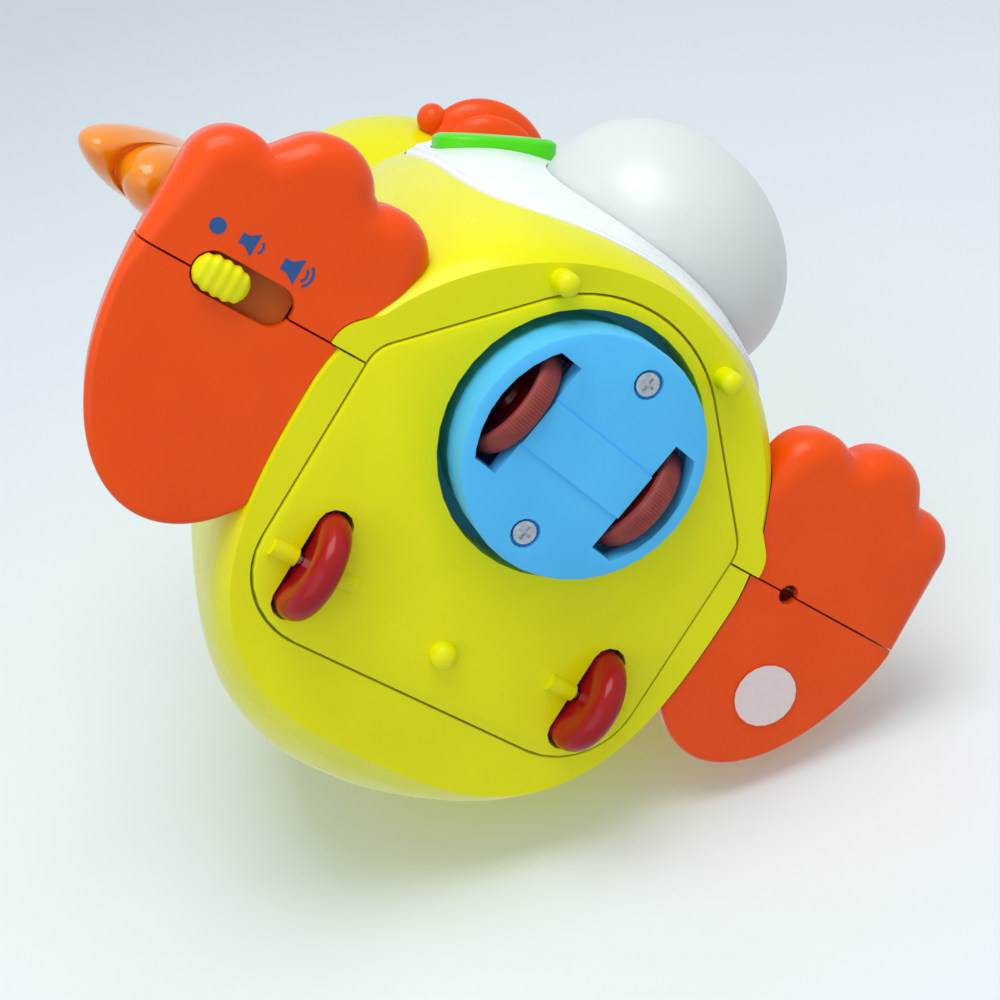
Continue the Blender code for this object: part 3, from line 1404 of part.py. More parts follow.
def circuit_board(low):
    y = BOARD_BACK
    high = low + BOARD_THICK
    board = box(at(-BOARD_HALF_WIDTH, y - BOARD_HALF_LENGTH, low), at(BOARD_HALF_WIDTH, y + BOARD_HALF_LENGTH, high))
    chips = [(0.0, 0.0, 1.0), (0.55, 0.4, 0.7), (-0.6, -0.35, 0.6)]
    for across_share, along_share, size_share in chips:
        x, back = across_share * BOARD_HALF_WIDTH, y + along_share * BOARD_HALF_LENGTH
        half = size_share * CHIP_HALF
        join(board, box(at(x - half, back - half, high - BOARD_THICK / 2),
                        at(x + half, back + half, high + CHIP_THICK)))
    finished(board, "circuit_board", BOARD_GREEN)


def feet():
    """Both feet, each in a front and a rear half."""
    for side, label in ((-1, "right"), (1, "left")):
        foot = foot_solid(side)
        cut(foot, body_solid(-GAP), rim_corner(side, GAP), foot_cavity(side))
        if side < 0:
            middle = -(SLIDER_SLOT_OUTER + SLIDER_SLOT_INNER) / 2
            length = SLIDER_SLOT_OUTER - SLIDER_SLOT_INNER
            lying = [(y, x) for x, y in pill(length, SLIDER_SLOT_WIDTH)]
            slot = moved(list(reversed(lying)), middle, SLIDER_BACK)
            cut(foot, slab_flat(slot, -OVERRUN, FOOT_UP + FOOT_FLOOR + FOOT_CAVITY_HEIGHT / 2))
        else:
            low, high = at(FOOT_HOLE_SIDE, SEAM_BACK, -OVERRUN), at(FOOT_HOLE_SIDE, SEAM_BACK, FOOT_TOP / 2)
            cut(foot, rod(low, high, FOOT_HOLE_RADIUS, sides=20))
        front = keep(copy_of(foot), front_region())
        rear = keep(foot, rear_region())
        finished(front, label + "_foot_front", ORANGE)
        finished(rear, label + "_foot_rear", ORANGE)
    label_top = FOOT_UP - GAP
    label = rod(at(LABEL_SIDE, LABEL_BACK, label_top - LABEL_THICK), at(LABEL_SIDE, LABEL_BACK, label_top),
                LABEL_RADIUS, sides=20)
    finished(label, "foot_label", PAPER)


def volume_slider():
    """The ribbed knob in the right foot's slot, and the slide switch above it."""
    left = -SLIDER_SLOT_OUTER + GAP
    right = left + SLIDER_LENGTH
    middle = (left + right) / 2
    half = SLIDER_WIDTH / 2
    floor_top = FOOT_UP + FOOT_FLOOR
    flange_low = floor_top + GAP
    flange_top = flange_low + SLIDER_FLANGE_THICK
    lying = [(y, x) for x, y in pill(SLIDER_LENGTH, SLIDER_WIDTH)]
    outline = moved(list(reversed(lying)), middle, SLIDER_BACK)
    low = FOOT_UP - SLIDER_PROUD
    knob = rounded_slab(outline, low, flange_low + GAP, SLIDER_RIB_HEIGHT)
    pitch = SLIDER_LENGTH / (SLIDER_RIBS + 1)
    for i in range(SLIDER_RIBS):
        x = left + (i + 1) * pitch
        reach = half - SLIDER_RIB_HEIGHT / 2
        rib = rod(at(x, SLIDER_BACK - reach, low), at(x, SLIDER_BACK + reach, low),
                  SLIDER_RIB_HEIGHT * 0.7, sides=8)
        join(knob, rib)
    join(knob, box(at(left - SLIDER_FLANGE, SLIDER_BACK - half - SLIDER_FLANGE, flange_low),
                   at(right + SLIDER_TAIL, SLIDER_BACK + half + SLIDER_FLANGE, flange_top)))
    pin = SWITCH_PIN / 2
    join(knob, box(at(middle - pin, SLIDER_BACK - pin, flange_top - GAP),
                   at(middle + pin, SLIDER_BACK + pin, flange_top + GAP + SWITCH_PIN_RISE)))
    finished(knob, "volume_slider", YELLOW, at(middle, SLIDER_BACK, low))

    switch_low = flange_top + GAP
    switch_high = floor_top + FOOT_CAVITY_HEIGHT - GAP
    centre = middle + SLIDER_TRAVEL / 2
    switch = box(at(centre - SWITCH_LENGTH / 2, SLIDER_BACK - SWITCH_WIDTH / 2, switch_low),
                 at(centre + SWITCH_LENGTH / 2, SLIDER_BACK + SWITCH_WIDTH / 2, switch_high))
    play = pin + GAP
    cut(switch, box(at(middle - play, SLIDER_BACK - play, switch_low - OVERRUN),
                    at(middle + SLIDER_TRAVEL + play, SLIDER_BACK + play,
                       switch_low + SWITCH_PIN_RISE + GAP)))
    finished(switch, "slide_switch", BLACK)


def chest_panel():
    """The white panel: it fills its window and stands a little proud, with a softened edge."""
    panel = body_solid(-PANEL_PROUD / 3)
    keep(panel, slab_across(panel_window(), -SPAN / 2, -BODY_FRONT / 3))
    proud = body_solid(-PANEL_PROUD)
    keep(proud, slab_across(panel_window(-PANEL_PROUD), -SPAN / 2, -BODY_FRONT / 3))
    join(panel, proud)
    cut(panel, body_solid(WALL), globe_form(GAP))
    post_reach = -BUTTON_SKIRT - BUTTON_STEM_LENGTH - BUTTON_TRAVEL - TAP_SWITCH_HEIGHT - TAP_PLUNGER_HEIGHT
    for direction in (1, -1):
        y = direction * TAP_POST_PLACE
        post = rod((0, y, post_reach), (0, y, 0), TAP_POST_RADIUS, sides=16)
        post.data.transform(button_place())
        join(panel, keep(post, body_solid(WALL / 2)))
    cut(panel, button_prism(GAP, -BUTTON_SKIRT, BUTTON_PROUD * 2))
    finished(panel, "chest_panel", WHITE)
    return post_reach


def music_button(board_top):
    """The green button, its skirt and stem, and the tap switch behind it."""
    levels = [
        (-BUTTON_SKIRT, 1.0),
        (BUTTON_PROUD * 0.35, 1.0),
        (BUTTON_PROUD * 0.70, 0.965),
        (BUTTON_PROUD * 0.90, 0.90),
        (BUTTON_PROUD * 1.00, 0.80),
        (BUTTON_PROUD * 1.06, 0.45),
    ]
    outline = button_outline()
    rings = [[Vector((x * reach, y * reach, z)) for x, y in outline] for z, reach in levels]
    button = loft(rings, "button")
    button.data.transform(button_place())
    flange = button_prism(BUTTON_FLANGE, -BUTTON_SKIRT, -BUTTON_SKIRT + BUTTON_FLANGE_THICK)
    join(button, keep(flange, body_solid(WALL + GAP)))
    stem_low = -BUTTON_SKIRT - BUTTON_STEM_LENGTH
    stem = rod((0, 0, stem_low), (0, 0, -BUTTON_SKIRT + BUTTON_FLANGE_THICK / 2), BUTTON_STEM_RADIUS)
    stem.data.transform(button_place())
    join(button, stem)
    finished(button, "music_button", GREEN, button_place() @ Vector((0, 0, 0)))

    top = board_top - GAP
    board = box((-TAP_BOARD_HALF_WIDTH, -TAP_BOARD_HALF_HEIGHT, top - BOARD_THICK),
                (TAP_BOARD_HALF_WIDTH, TAP_BOARD_HALF_HEIGHT, top))
    body_top = top + TAP_SWITCH_HEIGHT
    join(board, box((-TAP_SWITCH_HALF, -TAP_SWITCH_HALF, top - BOARD_THICK / 2),
                    (TAP_SWITCH_HALF, TAP_SWITCH_HALF, body_top)))
    plunger_top = body_top + TAP_PLUNGER_HEIGHT
    join(board, rod((0, 0, body_top - GAP), (0, 0, plunger_top), TAP_PLUNGER_RADIUS, sides=16))
    board.data.transform(button_place())
    finished(board, "button_switch", BOARD_GREEN)


def light_globe():
    """The milky globe, its flange behind the panel, and the lamp board that closes it."""
    globe = globe_form()
    flange = rod((0, 0, -GLOBE_SINK - GLOBE_FLANGE_THICK), (0, 0, -GLOBE_SINK),
                 GLOBE_FLANGE_RADIUS, sides=24)
    flange.data.transform(globe_place())
    keep(flange, body_solid(WALL + GAP))
    reach = GLOBE_RADIUS + OVERRUN
    behind = box((-reach, -reach, -reach), (reach, reach, -GLOBE_SINK - GAP / 2))
    behind.data.transform(globe_place())
    cut(globe, behind)
    join(globe, flange)
    bore = rod((0, 0, -reach), (0, 0, -GLOBE_SINK), GLOBE_FLANGE_BORE, sides=20)
    bore.data.transform(globe_place())
    cut(globe, bore, globe_form(-GLOBE_WALL, 20, 10))
    finished(globe, "light_globe", MILKY)

    top = -GLOBE_SINK - GLOBE_FLANGE_THICK - GAP
    board = rod((0, 0, top - LED_BOARD_THICK), (0, 0, top), LED_BOARD_RADIUS, sides=20)
    board.data.transform(globe_place())
    keep(board, body_solid(WALL + GAP))
    finished(board, "lamp_board", BOARD_GREEN)
    for i in range(3):
        angle = math.tau * i / 3 + math.pi / 2
        place = LED_BOARD_RADIUS * LED_RING_SHARE
        x, y = place * math.cos(angle), place * math.sin(angle)
        base = top + GAP
        straight = base + LED_HEIGHT - LED_RADIUS
        profile = [(0, LED_HEIGHT + base)]
        for step in range(4, -1, -1):
            tilt = math.pi / 10 * step
            profile.append((LED_RADIUS * math.cos(tilt), straight + LED_RADIUS * math.sin(tilt)))
        rim = LED_RADIUS * 1.15
        profile += [(LED_RADIUS, base + LED_RADIUS / 2), (rim, base + LED_RADIUS / 2), (rim, base)]
        profile.append((0, base))
        lamp = turned(profile, globe_place() @ Matrix.Translation((x, y, 0)), steps=8)
        finished(lamp, "lamp_%d" % (i + 1), LED_CLEAR)


def turn_head(item):
    """Turns a piece of the head a little to the duck's left."""
    turn = Matrix.Rotation(HEAD_TURN, 4, "Z")
    middle = Matrix.Translation(head_centre())
    item.data.transform(middle @ turn @ middle.inverted())
    return item


def head():
    """The ball head in two shells, with its neck, bill and eyes."""
    whole = ellipsoid(head_centre(), [HEAD_RADIUS] * 3, "head", sides=32, rows=16)
    flange_top = NECK_RING_BOTTOM - NECK_FLANGE_GAP
    flange_low = flange_top - NECK_FLANGE_THICK
    neck_top = HEAD_UP - HEAD_RADIUS + HEAD_WALL * 2
    join(whole, rod(at(0, 0, flange_low), at(0, 0, neck_top), NECK_RADIUS, sides=24))
    join(whole, rod(at(0, 0, flange_low), at(0, 0, flange_top), NECK_FLANGE_RADIUS, sides=24))
    cut(whole, ellipsoid(head_centre(), [HEAD_RADIUS - HEAD_WALL] * 3, sides=20, rows=10))
    cut(whole, rod(at(0, 0, flange_low - OVERRUN), at(0, 0, HEAD_UP - HEAD_RADIUS / 2), NECK_BORE, sides=24))
    for side in (1, -1):
        cut(whole, eye_form(side, GAP))
    cut(whole, bill_peg(GAP))
    front = keep(copy_of(whole), front_region())
    rear = keep(whole, rear_region())
    pivot = head_centre()
    finished(turn_head(front), "head_front_shell", YELLOW, pivot)
    finished(turn_head(rear), "head_rear_shell", YELLOW, pivot)

    for side, label in ((-1, "right"), (1, "left")):
        finished(turn_head(eye_form(side)), "eye_" + label, BLACK, pivot)
    finished(turn_head(bill_upper()), "bill_upper", ORANGE, pivot)
    finished(turn_head(bill_lower()), "bill_lower", ORANGE, pivot)

    disc_high = SHAFT_DISC_UP + SHAFT_DISC_THICK
    shaft = rod(at(0, 0, SHAFT_DISC_UP), at(0, 0, disc_high), NECK_BORE - 2 * GAP, sides=24)
    join(shaft, rod(at(0, 0, SHAFT_FOOT_UP), at(0, 0, disc_high - GAP), SHAFT_RADIUS, sides=20))
    finished(shaft, "head_shaft", WHITE, pivot)


def eye_form(side, extra=0.0):
    """An oval eye set into the front of the head."""
    direction = Vector((side * EYE_SIDE, 0, EYE_UP))
    forward = math.sqrt(HEAD_RADIUS**2 - direction.length_squared)
    direction.y = -forward
    radii = (EYE_HALF_WIDTH + extra, EYE_HALF_HEIGHT + extra, EYE_HALF_DEPTH + extra)
    turn = turned_to(direction)
    return ellipsoid(head_centre() + direction, radii, "eye", turn=turn, sides=14, rows=7)


def bill_peg(extra=0.0):
    """The square peg that holds the bill in the head's front shell."""
    half = BILL_HALF_HEIGHT * 0.6 + extra
    depth = HEAD_RADIUS - HEAD_WALL * 3
    low = at(-half, -HEAD_RADIUS, HEAD_UP - BILL_DROP - half)
    high = at(half, -depth + HEAD_WALL + extra, HEAD_UP - BILL_DROP + half)
    return box(low, high)


def bill_form(drop, forward, half_width, length, half_height, tilt):
    place = at(0, -forward, HEAD_UP - drop)
    turn = Matrix.Rotation(tilt, 4, "X")
    return ellipsoid(place, (half_width, length, half_height), turn=turn, sides=20, rows=10)


def bill_upper():
    bill = bill_form(BILL_DROP, BILL_FORWARD, BILL_HALF_WIDTH, BILL_LENGTH, BILL_HALF_HEIGHT, BILL_TILT)
    for side in (1, -1):
        corner = at(side * MOUTH_CORNER_SIDE, -MOUTH_CORNER_FORWARD, HEAD_UP - MOUTH_CORNER_DROP)
        join(bill, ellipsoid(corner, [MOUTH_CORNER_RADIUS] * 3, sides=12, rows=8))
    cut(bill, seat_ball(GAP))
    join(bill, bill_peg())
    cut(bill, lower_bill_form(GAP))
    return bill


def lower_bill_form(extra=0.0):
    return bill_form(
        BILL_DROP + LOWER_BILL_DROP,
        BILL_FORWARD,
        BILL_HALF_WIDTH * LOWER_BILL_SHARE + extra,
        BILL_LENGTH * LOWER_BILL_SHARE + extra,
        BILL_HALF_HEIGHT * LOWER_BILL_SHARE + extra,
        LOWER_BILL_TILT,
    )


def bill_lower():
    bill = lower_bill_form()
    return cut(bill, seat_ball(GAP))


def wing(side):
    """A puffy three-feathered wing with its arm, pivot pin and inner lever."""
    span, height = WING_TIP - WING_ROOT, WING_TOP - WING_BOTTOM
    heart = (WING_ROOT + WING_HEART_SHARE[0] * span, WING_BOTTOM + WING_HEART_SHARE[1] * height)
    rings = []
    outline = smooth_loop(WING_OUTLINE_SHARES, 2)
    for depth_share, reach in WING_LEVEL_SHARES:
        ring = []
        for out_share, up_share in outline:
            x, z = WING_ROOT + out_share * span, WING_BOTTOM + up_share * height
            x, z = heart[0] + (x - heart[0]) * reach, heart[1] + (z - heart[1]) * reach
            out = (x - WING_ROOT) / span
            half = WING_HALF_THICK * (1 - (1 - WING_TIP_THICK_SHARE) * abs(2 * out - 1) ** 2)
            y = SEAM_BACK - WING_FORWARD - WING_SWEEP * out + depth_share * half
            ring.append(at(side * x, y, z))
        rings.append(ring)
    made = loft(rings, "wing")
    pivot = at(side * WING_PIVOT_SIDE, SEAM_BACK, WING_PIVOT_UP)
    reach = span * 0.3
    tab = [
        (WING_PIVOT_SIDE, WING_PIVOT_UP - WING_HUB_RADIUS),
        (WING_ROOT + reach, WING_TAB_LOW),
        (WING_ROOT + reach, WING_TAB_HIGH - WING_HUB_RADIUS),
        (WING_ROOT, WING_TAB_HIGH),
        (WING_PIVOT_SIDE, WING_PIVOT_UP + WING_HUB_RADIUS),
    ]
    tab = [(side * x, z) for x, z in tab]
    join(made, slab_across(tab, SEAM_BACK - WING_HUB_HALF, SEAM_BACK + WING_HUB_HALF))
    hub_front, hub_back = SEAM_BACK - WING_HUB_HALF, SEAM_BACK + WING_HUB_HALF
    x = side * WING_PIVOT_SIDE
    join(made, along_body(x, WING_PIVOT_UP, hub_front, hub_back, WING_HUB_RADIUS, 18))
    join(made, along_body(x, WING_PIVOT_UP, SEAM_BACK - WING_PIN_HALF, SEAM_BACK + WING_PIN_HALF,
                          WING_PIN_RADIUS))
    ends = sorted((side * (WING_PIVOT_SIDE - WING_LEVER), side * WING_PIVOT_SIDE))
    join(made, box(at(ends[0], SEAM_BACK - WING_LEVER_HALF, WING_PIVOT_UP - WING_PIN_RADIUS),
                   at(ends[1], SEAM_BACK + WING_LEVER_HALF, WING_PIVOT_UP + WING_PIN_RADIUS)))
    return made, pivot


def wings():
    for side, label in ((-1, "right"), (1, "left")):
        made, pivot = wing(side)
        finished(made, "wing_" + label, AMBER, pivot)
    works = box(at(-WORKS_HALF_WIDTH, -WORKS_FRONT, WORKS_BOTTOM),
                at(WORKS_HALF_WIDTH, WORKS_BACK, WORKS_TOP))
    boss_top = WORKS_TOP + WORKS_BOSS_HEIGHT
    join(works, rod(at(0, 0, WORKS_TOP - WALL), at(0, 0, boss_top), WORKS_BOSS_RADIUS))
    cut(works, rod(at(0, 0, SHAFT_FOOT_UP - GAP), at(0, 0, boss_top + OVERRUN), SHAFT_RADIUS + GAP))
    finished(works, "wing_gearbox", WHITE)


def speaker():
    body = speaker_rod(SPEAKER_RADIUS, -SPEAKER_FRAME_THICK, 0)
    low = -SPEAKER_FRAME_THICK - SPEAKER_MAGNET_HEIGHT
    join(body, speaker_rod(SPEAKER_MAGNET_RADIUS, low, -SPEAKER_FRAME_THICK / 2))
    finished(body, "speaker", BLACK)


def batteries():
    """The battery box inside the back, its cells, contacts, cover and the cover's screw."""
    ups = [BATTERY_MIDDLE_UP + i * BATTERY_PITCH for i in (-1, 0, 1)]
    half_length = BATTERY_LENGTH / 2
    inner_half = half_length + BATTERY_NUB_LENGTH + CONTACT_THICK + 3 * GAP
    reach = BATTERY_RADIUS + TRAY_CLEARANCE
    inner_low, inner_high = ups[0] - reach, ups[-1] + reach
    inner_front = BATTERY_BACK - reach
    tray = box(at(-inner_half - TRAY_WALL, inner_front - TRAY_WALL, inner_low - TRAY_WALL),
               at(inner_half + TRAY_WALL, BODY_REAR, inner_high + TRAY_WALL))
    boss_low = COVER_SCREW_UP - COVER_SCREW_BOSS
    join(tray, box(at(-COVER_SCREW_BOSS, inner_front, boss_low),
                   at(COVER_SCREW_BOSS, BODY_REAR, inner_low - TRAY_WALL / 2)))
    keep(tray, body_solid(WALL + GAP))
    cut(tray, box(at(-inner_half, inner_front, inner_low), at(inner_half, BODY_REAR + OVERRUN, inner_high)))

    cover = keep(body_solid(), slab_across(cover_window(), BODY_REAR / 2, SPAN / 2))
    cut(cover, body_solid(WALL))
    skin = rear_of_body(COVER_SCREW_UP)
    seat = skin - WALL / 2
    x, up = 0, COVER_SCREW_UP
    hole = SMALL_SCREW_SHANK_RADIUS + GAP
    cut(cover, along_body(x, up, seat, skin + OVERRUN, SMALL_SCREW_HEAD_RADIUS + GAP, 20))
    cut(cover, along_body(x, up, skin - 2 * WALL, skin, hole, 12))
    cut(tray, along_body(x, up, skin - COVER_SCREW_DEPTH, skin, hole, 12))
    screw = screw_form(at(x, seat + GAP, up), (0, -1, 0), SMALL_SCREW_HEAD_RADIUS,
                       SMALL_SCREW_HEAD_THICK, SMALL_SCREW_SHANK_RADIUS, SMALL_SCREW_LENGTH)
    finished(cover, "battery_cover", YELLOW)
    finished(tray, "battery_box", WHITE)
    finished(screw, "battery_cover_screw", STEEL)

    for i, up in enumerate(ups):
        end = 1 if i % 2 == 0 else -1
        cell = rod(at(-half_length, BATTERY_BACK, up), at(half_length, BATTERY_BACK, up),
                   BATTERY_RADIUS, sides=14)
        nub_end = end * (half_length + BATTERY_NUB_LENGTH)
        join(cell, rod(at(end * (half_length - GAP), BATTERY_BACK, up), at(nub_end, BATTERY_BACK, up),
                       BATTERY_NUB_RADIUS, sides=10))
        finished(cell, "battery_%d" % (i + 1), BATTERY)
    plates = [(1, ups[0], ups[0]), (-1, ups[0], ups[1]), (1, ups[1], ups[2]), (-1, ups[2], ups[2])]
    for i, (side, low, high) in enumerate(plates):
        outer = side * (inner_half - GAP)
        edges = sorted((outer, outer - side * CONTACT_THICK))
        plate = box(at(edges[0], BATTERY_BACK - CONTACT_HALF, low - CONTACT_HALF),
                    at(edges[1], BATTERY_BACK + CONTACT_HALF, high + CONTACT_HALF))
        finished(plate, "battery_contact_%d" % (i + 1), STEEL)


def rear_of_body(up):
    """How far back the body's skin reaches at its middle, at a given height."""
    for lower, upper in zip(BODY_SHARES, BODY_SHARES[1:]):
        low, high = lower[0] * BODY_HEIGHT, upper[0] * BODY_HEIGHT
        if low <= up <= high:
            share = (up - low) / (high - low)
            return (lower[3] + (upper[3] - lower[3]) * share) * BODY_REAR
    return BODY_REAR


body_shells()
shell_screws()
base_plate()
rear_wheels()
drive_housing(drive_cap())
drive_screws()
drive_train()
drive_retainer()
feet()
volume_slider()
music_button(chest_panel())
light_globe()
head()
wings()
speaker()
batteries()
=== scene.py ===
"""The musical duck toy as photographed: lying on its back, seen from under its base plate."""

import json
import math

import bmesh
import bpy
from mathutils import Matrix, Vector


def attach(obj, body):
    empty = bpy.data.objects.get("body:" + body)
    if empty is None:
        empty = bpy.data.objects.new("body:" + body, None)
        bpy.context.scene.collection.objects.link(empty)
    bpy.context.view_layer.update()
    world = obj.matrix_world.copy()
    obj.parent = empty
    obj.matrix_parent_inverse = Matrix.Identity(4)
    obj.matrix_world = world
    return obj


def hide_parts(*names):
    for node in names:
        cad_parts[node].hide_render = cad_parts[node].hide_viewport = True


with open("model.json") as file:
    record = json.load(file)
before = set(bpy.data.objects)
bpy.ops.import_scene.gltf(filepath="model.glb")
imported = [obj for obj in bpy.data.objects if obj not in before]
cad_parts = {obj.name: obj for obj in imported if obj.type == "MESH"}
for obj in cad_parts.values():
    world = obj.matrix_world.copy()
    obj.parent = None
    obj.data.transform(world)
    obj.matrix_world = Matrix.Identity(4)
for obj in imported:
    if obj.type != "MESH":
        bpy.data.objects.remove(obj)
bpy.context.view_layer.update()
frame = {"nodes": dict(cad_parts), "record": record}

MM = 0.001
# How strongly plain moulded plastic mirrors its surroundings, as the shader counts it
SHEEN = 0.22
# Corners nearer to each other than this are one corner, in millimetres
WELD = 0.004
# How far a cutting tool reaches past what it cuts, in millimetres
CUT_PAST = 2

# The drive disc's centre, in the base plate's underside, in the row frame
DISC_BACK = -14.05
PLATE_UP = 11.4

# The photograph's camera, in millimetres from the drive disc's centre
CAMERA_PLACE = (-150.27, -38.47, -314.94)
CAMERA_RIGHT = Vector((0.805857, -0.524382, -0.274988))
CAMERA_DOWN = Vector((0.428711, 0.837070, -0.339884))
CAMERA_AHEAD = CAMERA_RIGHT.cross(CAMERA_DOWN)
CAMERA_LENS = 64.8
CAMERA_SENSOR = 36.0

# The surface that the toy lies on: its heel, its wing and its back touch it
FLOOR_NORMAL = Vector((-0.723, -0.674, -0.152)).normalized()
FLOOR_DEPTH = 84.2
FLOOR_SIZE = 2600
FLOOR_FADE_START = 700
FLOOR_FADE_END = 1250
TOY_MIDDLE = (0, 10, 62)

# Body, in millimetres
WALL = 2.2
GAP = 0.3
SEAM_BACK = 5.4
SEAM_HALF_GAP = 0.22
SPAN = 300
BODY_HALF_WIDTH = 55
BODY_HEIGHT = 131
BODY_FRONT = 45.4
BODY_REAR = 93
BODY_SIDES = 144
ROW_STEPS = 3
RIM_THICK = 4.2
RIM_CORNER_WIDTH = 52.4
RIM_CORNER_DIAGONAL = 50.7
RIM_CORNER_ROUND = 8.0
RIM_NOTCH_WIDTH = 41.8
NECK_HOLE_RADIUS = 17.5
HEAD_CLEARANCE = 0.5
TAIL = {"place": (0, 80, 95), "radii": (15, 17.3, 9.5), "tilt": 38}
SPEAKER = {"place": (0, 54, 104.5), "tilt": 46, "slots": 5, "pitch": 3.6, "slot": 1.8, "half_width": 10}
SHELL_SCREWS = [(-26, 112), (26, 112)]
SCREW_POCKET_RADIUS = 3.2
WING_SLOT = {"inner": 36.3, "half": 3.1, "low": 84, "high": 108}

# height, half width, front, rear, widest place, front squareness, rear squareness
BODY_SHARES = [
    (0.0046, 0.930, 0.775, 0.817, 0.150, 1.84, 2.9),
    (0.024, 0.952, 0.802, 0.843, 0.150, 1.95, 2.8),
    (0.060, 0.978, 0.838, 0.887, 0.156, 2.00, 2.6),
    (0.135, 0.995, 0.880, 0.952, 0.172, 2.10, 2.25),
    (0.241, 0.995, 0.925, 0.995, 0.194, 2.20, 2.02),
    (0.361, 0.980, 0.960, 1.000, 0.204, 2.25, 1.92),
    (0.481, 0.955, 0.987, 0.973, 0.204, 2.25, 1.92),
    (0.602, 0.909, 0.996, 0.914, 0.194, 2.20, 1.95),
    (0.714, 0.845, 0.975, 0.822, 0.161, 2.15, 2.0),
    (0.812, 0.762, 0.915, 0.705, 0.118, 2.10, 2.0),
    (0.895, 0.660, 0.815, 0.560, 0.075, 2.05, 2.0),
    (0.955, 0.560, 0.700, 0.420, 0.035, 2.0, 2.0),
    (1.000, 0.464, 0.562, 0.275, 0.0, 2.0, 2.0),
]
NUB_PLACES = [(-20.2, -26.4), (20.2, -26.4)]
NUB_RADIUS = 2.4
NUB_HEIGHT = 5.8

# Base plate's outline and battery cover's window
PLATE_HALF_WIDTH = 44.5
PLATE_FRONT_RADIUS = 30
PLATE_FRONT_CORNER = 7
PLATE_REAR = 59.9
PLATE_REAR_ROUND = 16.5
PLATE_GAP = 0.5
COVER = {"half_width": 28.9, "low": 34.1, "high": 82.4, "round": 6.4}

# Feet
FOOT_UP = 1.4
FOOT_SIDE = 66.8
FOOT_BACK = 5.0
FOOT_STEP = 2.4
FOOT_HALF_WIDTH = 25.8
FOOT_REAR_LENGTH = 43.8
FOOT_TOP = 15.0
LEFT_FOOT_TURN = math.radians(4.5)
TOE_EDGE_ROUND = 5.8
HEEL_EDGE_ROUND = 1.6
TOE_EDGE_HEIGHT = 10.0
HEEL_EDGE_HEIGHT = 5.5
FOOT_FLOOR = 2.0
# side and forward place of each toe's circle, then its radius, from the inner toe to the outer one
TOE_PLACES = {
    -1: [(-15.3, 19.7, 9.6), (0.7, 24.4, 10.5), (16.1, 18.7, 9.1)],
    1: [(-15.3, 19.7, 9.6), (0.4, 24.0, 10.3), (15.0, 18.9, 9.1)],
}
TOE_ARCS = [(180, 300), (208, 325), (245, 360)]
SLIDER_SLOT = (-82.0, -61.4, 4.6, 4.1)
SLIDER_SLOT_DEPTH = 2.8
FOOT_HOLE = (61.4, 2.2)
FOOT_CAVITY = {"half_width": 19.5, "half_length": 30, "height": 5.6}

# Volume slider: the ribbed knob, and the strip that slides with it behind the slot
KNOB_LEFT = -81.7
KNOB_RIGHT = -70.7
KNOB_BACK = 4.6
KNOB_UP = 1.0
KNOB_HALF_WIDTH = 3.25
KNOB_HALF_HEIGHT = 2.55
KNOB_RIB_PITCH = 2.1
KNOB_RIB_SHARE = 0.11
STRIP_PAST_KNOB = (1.3, 8.9)
STRIP_HALF_WIDTH = 4.9
STRIP_LEVELS = (3.7, 4.9)

# Printed signs on the right foot: place and size of each, and how thick the print is drawn
MARK_DOT = (-81.3, -3.3, 1.55)
MARK_LOW = (-74.4, -3.5, 2.3)
MARK_HIGH = (-65.2, -3.1, 2.6)
MARK_THICK = (0.06, 0.05)

# Chest panel, globe and music button
PANEL_PROUD = 0.8
# round the panel from its lowest point, to the duck's right first, and back up its left side
PANEL_SHARES = [
    (0.03, 0.050),
    (-0.18, 0.073),
    (-0.385, 0.115),
    (-0.525, 0.170),
    (-0.605, 0.245),
    (-0.640, 0.365),
    (-0.645, 0.550),
    (-0.595, 0.690),
    (-0.400, 0.800),
    (0.00, 0.850),
    (0.400, 0.800),
    (0.655, 0.690),
    (0.800, 0.535),
    (0.880, 0.380),
    (0.855, 0.245),
    (0.725, 0.135),
    (0.51, 0.055),
    (0.25, 0.028),
]
GLOBE_PLACE = (13.9, -41.0, 46.0)
GLOBE_RADIUS = 30.3
GLOBE_DEPTH = 25.2
GLOBE_TURN = math.radians(16.5)
GLOBE_WALL = 1.8
GLOBE_SINK = 13.5
GLOBE_REACH = 40
BUTTON_PLACE = (-21.0, -41.0, 73.5)
BUTTON_TURN = math.radians(-27)
BUTTON_LEAN = math.radians(-7)
BUTTON_HALF = (14.0, 8.4)
BUTTON_SQUARENESS = 2.6
BUTTON_PROUD = 2.7
BUTTON_SKIRT = 6.0

# Head
HEAD_UP = 165
HEAD_RADIUS = 39.4
HEAD_TURN = math.radians(8)
NECK_RADIUS = 16.5
NECK_BORE = 12.0
NECK_LOW = 123
NECK_IN_HEAD = 5
BILL_SEAT = 0.5
EYE = {"side": 12.0, "up": 23.5, "radii": (5.0, 2.4, 6.6)}
BILL = {"place": (0, -38, 153), "radii": (18, 15.5, 6.5), "tilt": 10}
LOWER_BILL = {"place": (0, -38, 147.5), "radii": (14.4, 12.4, 5.2), "tilt": 16}
MOUTH_CORNER = {"side": 18.5, "forward": 37, "up": 154, "radius": 4.0}

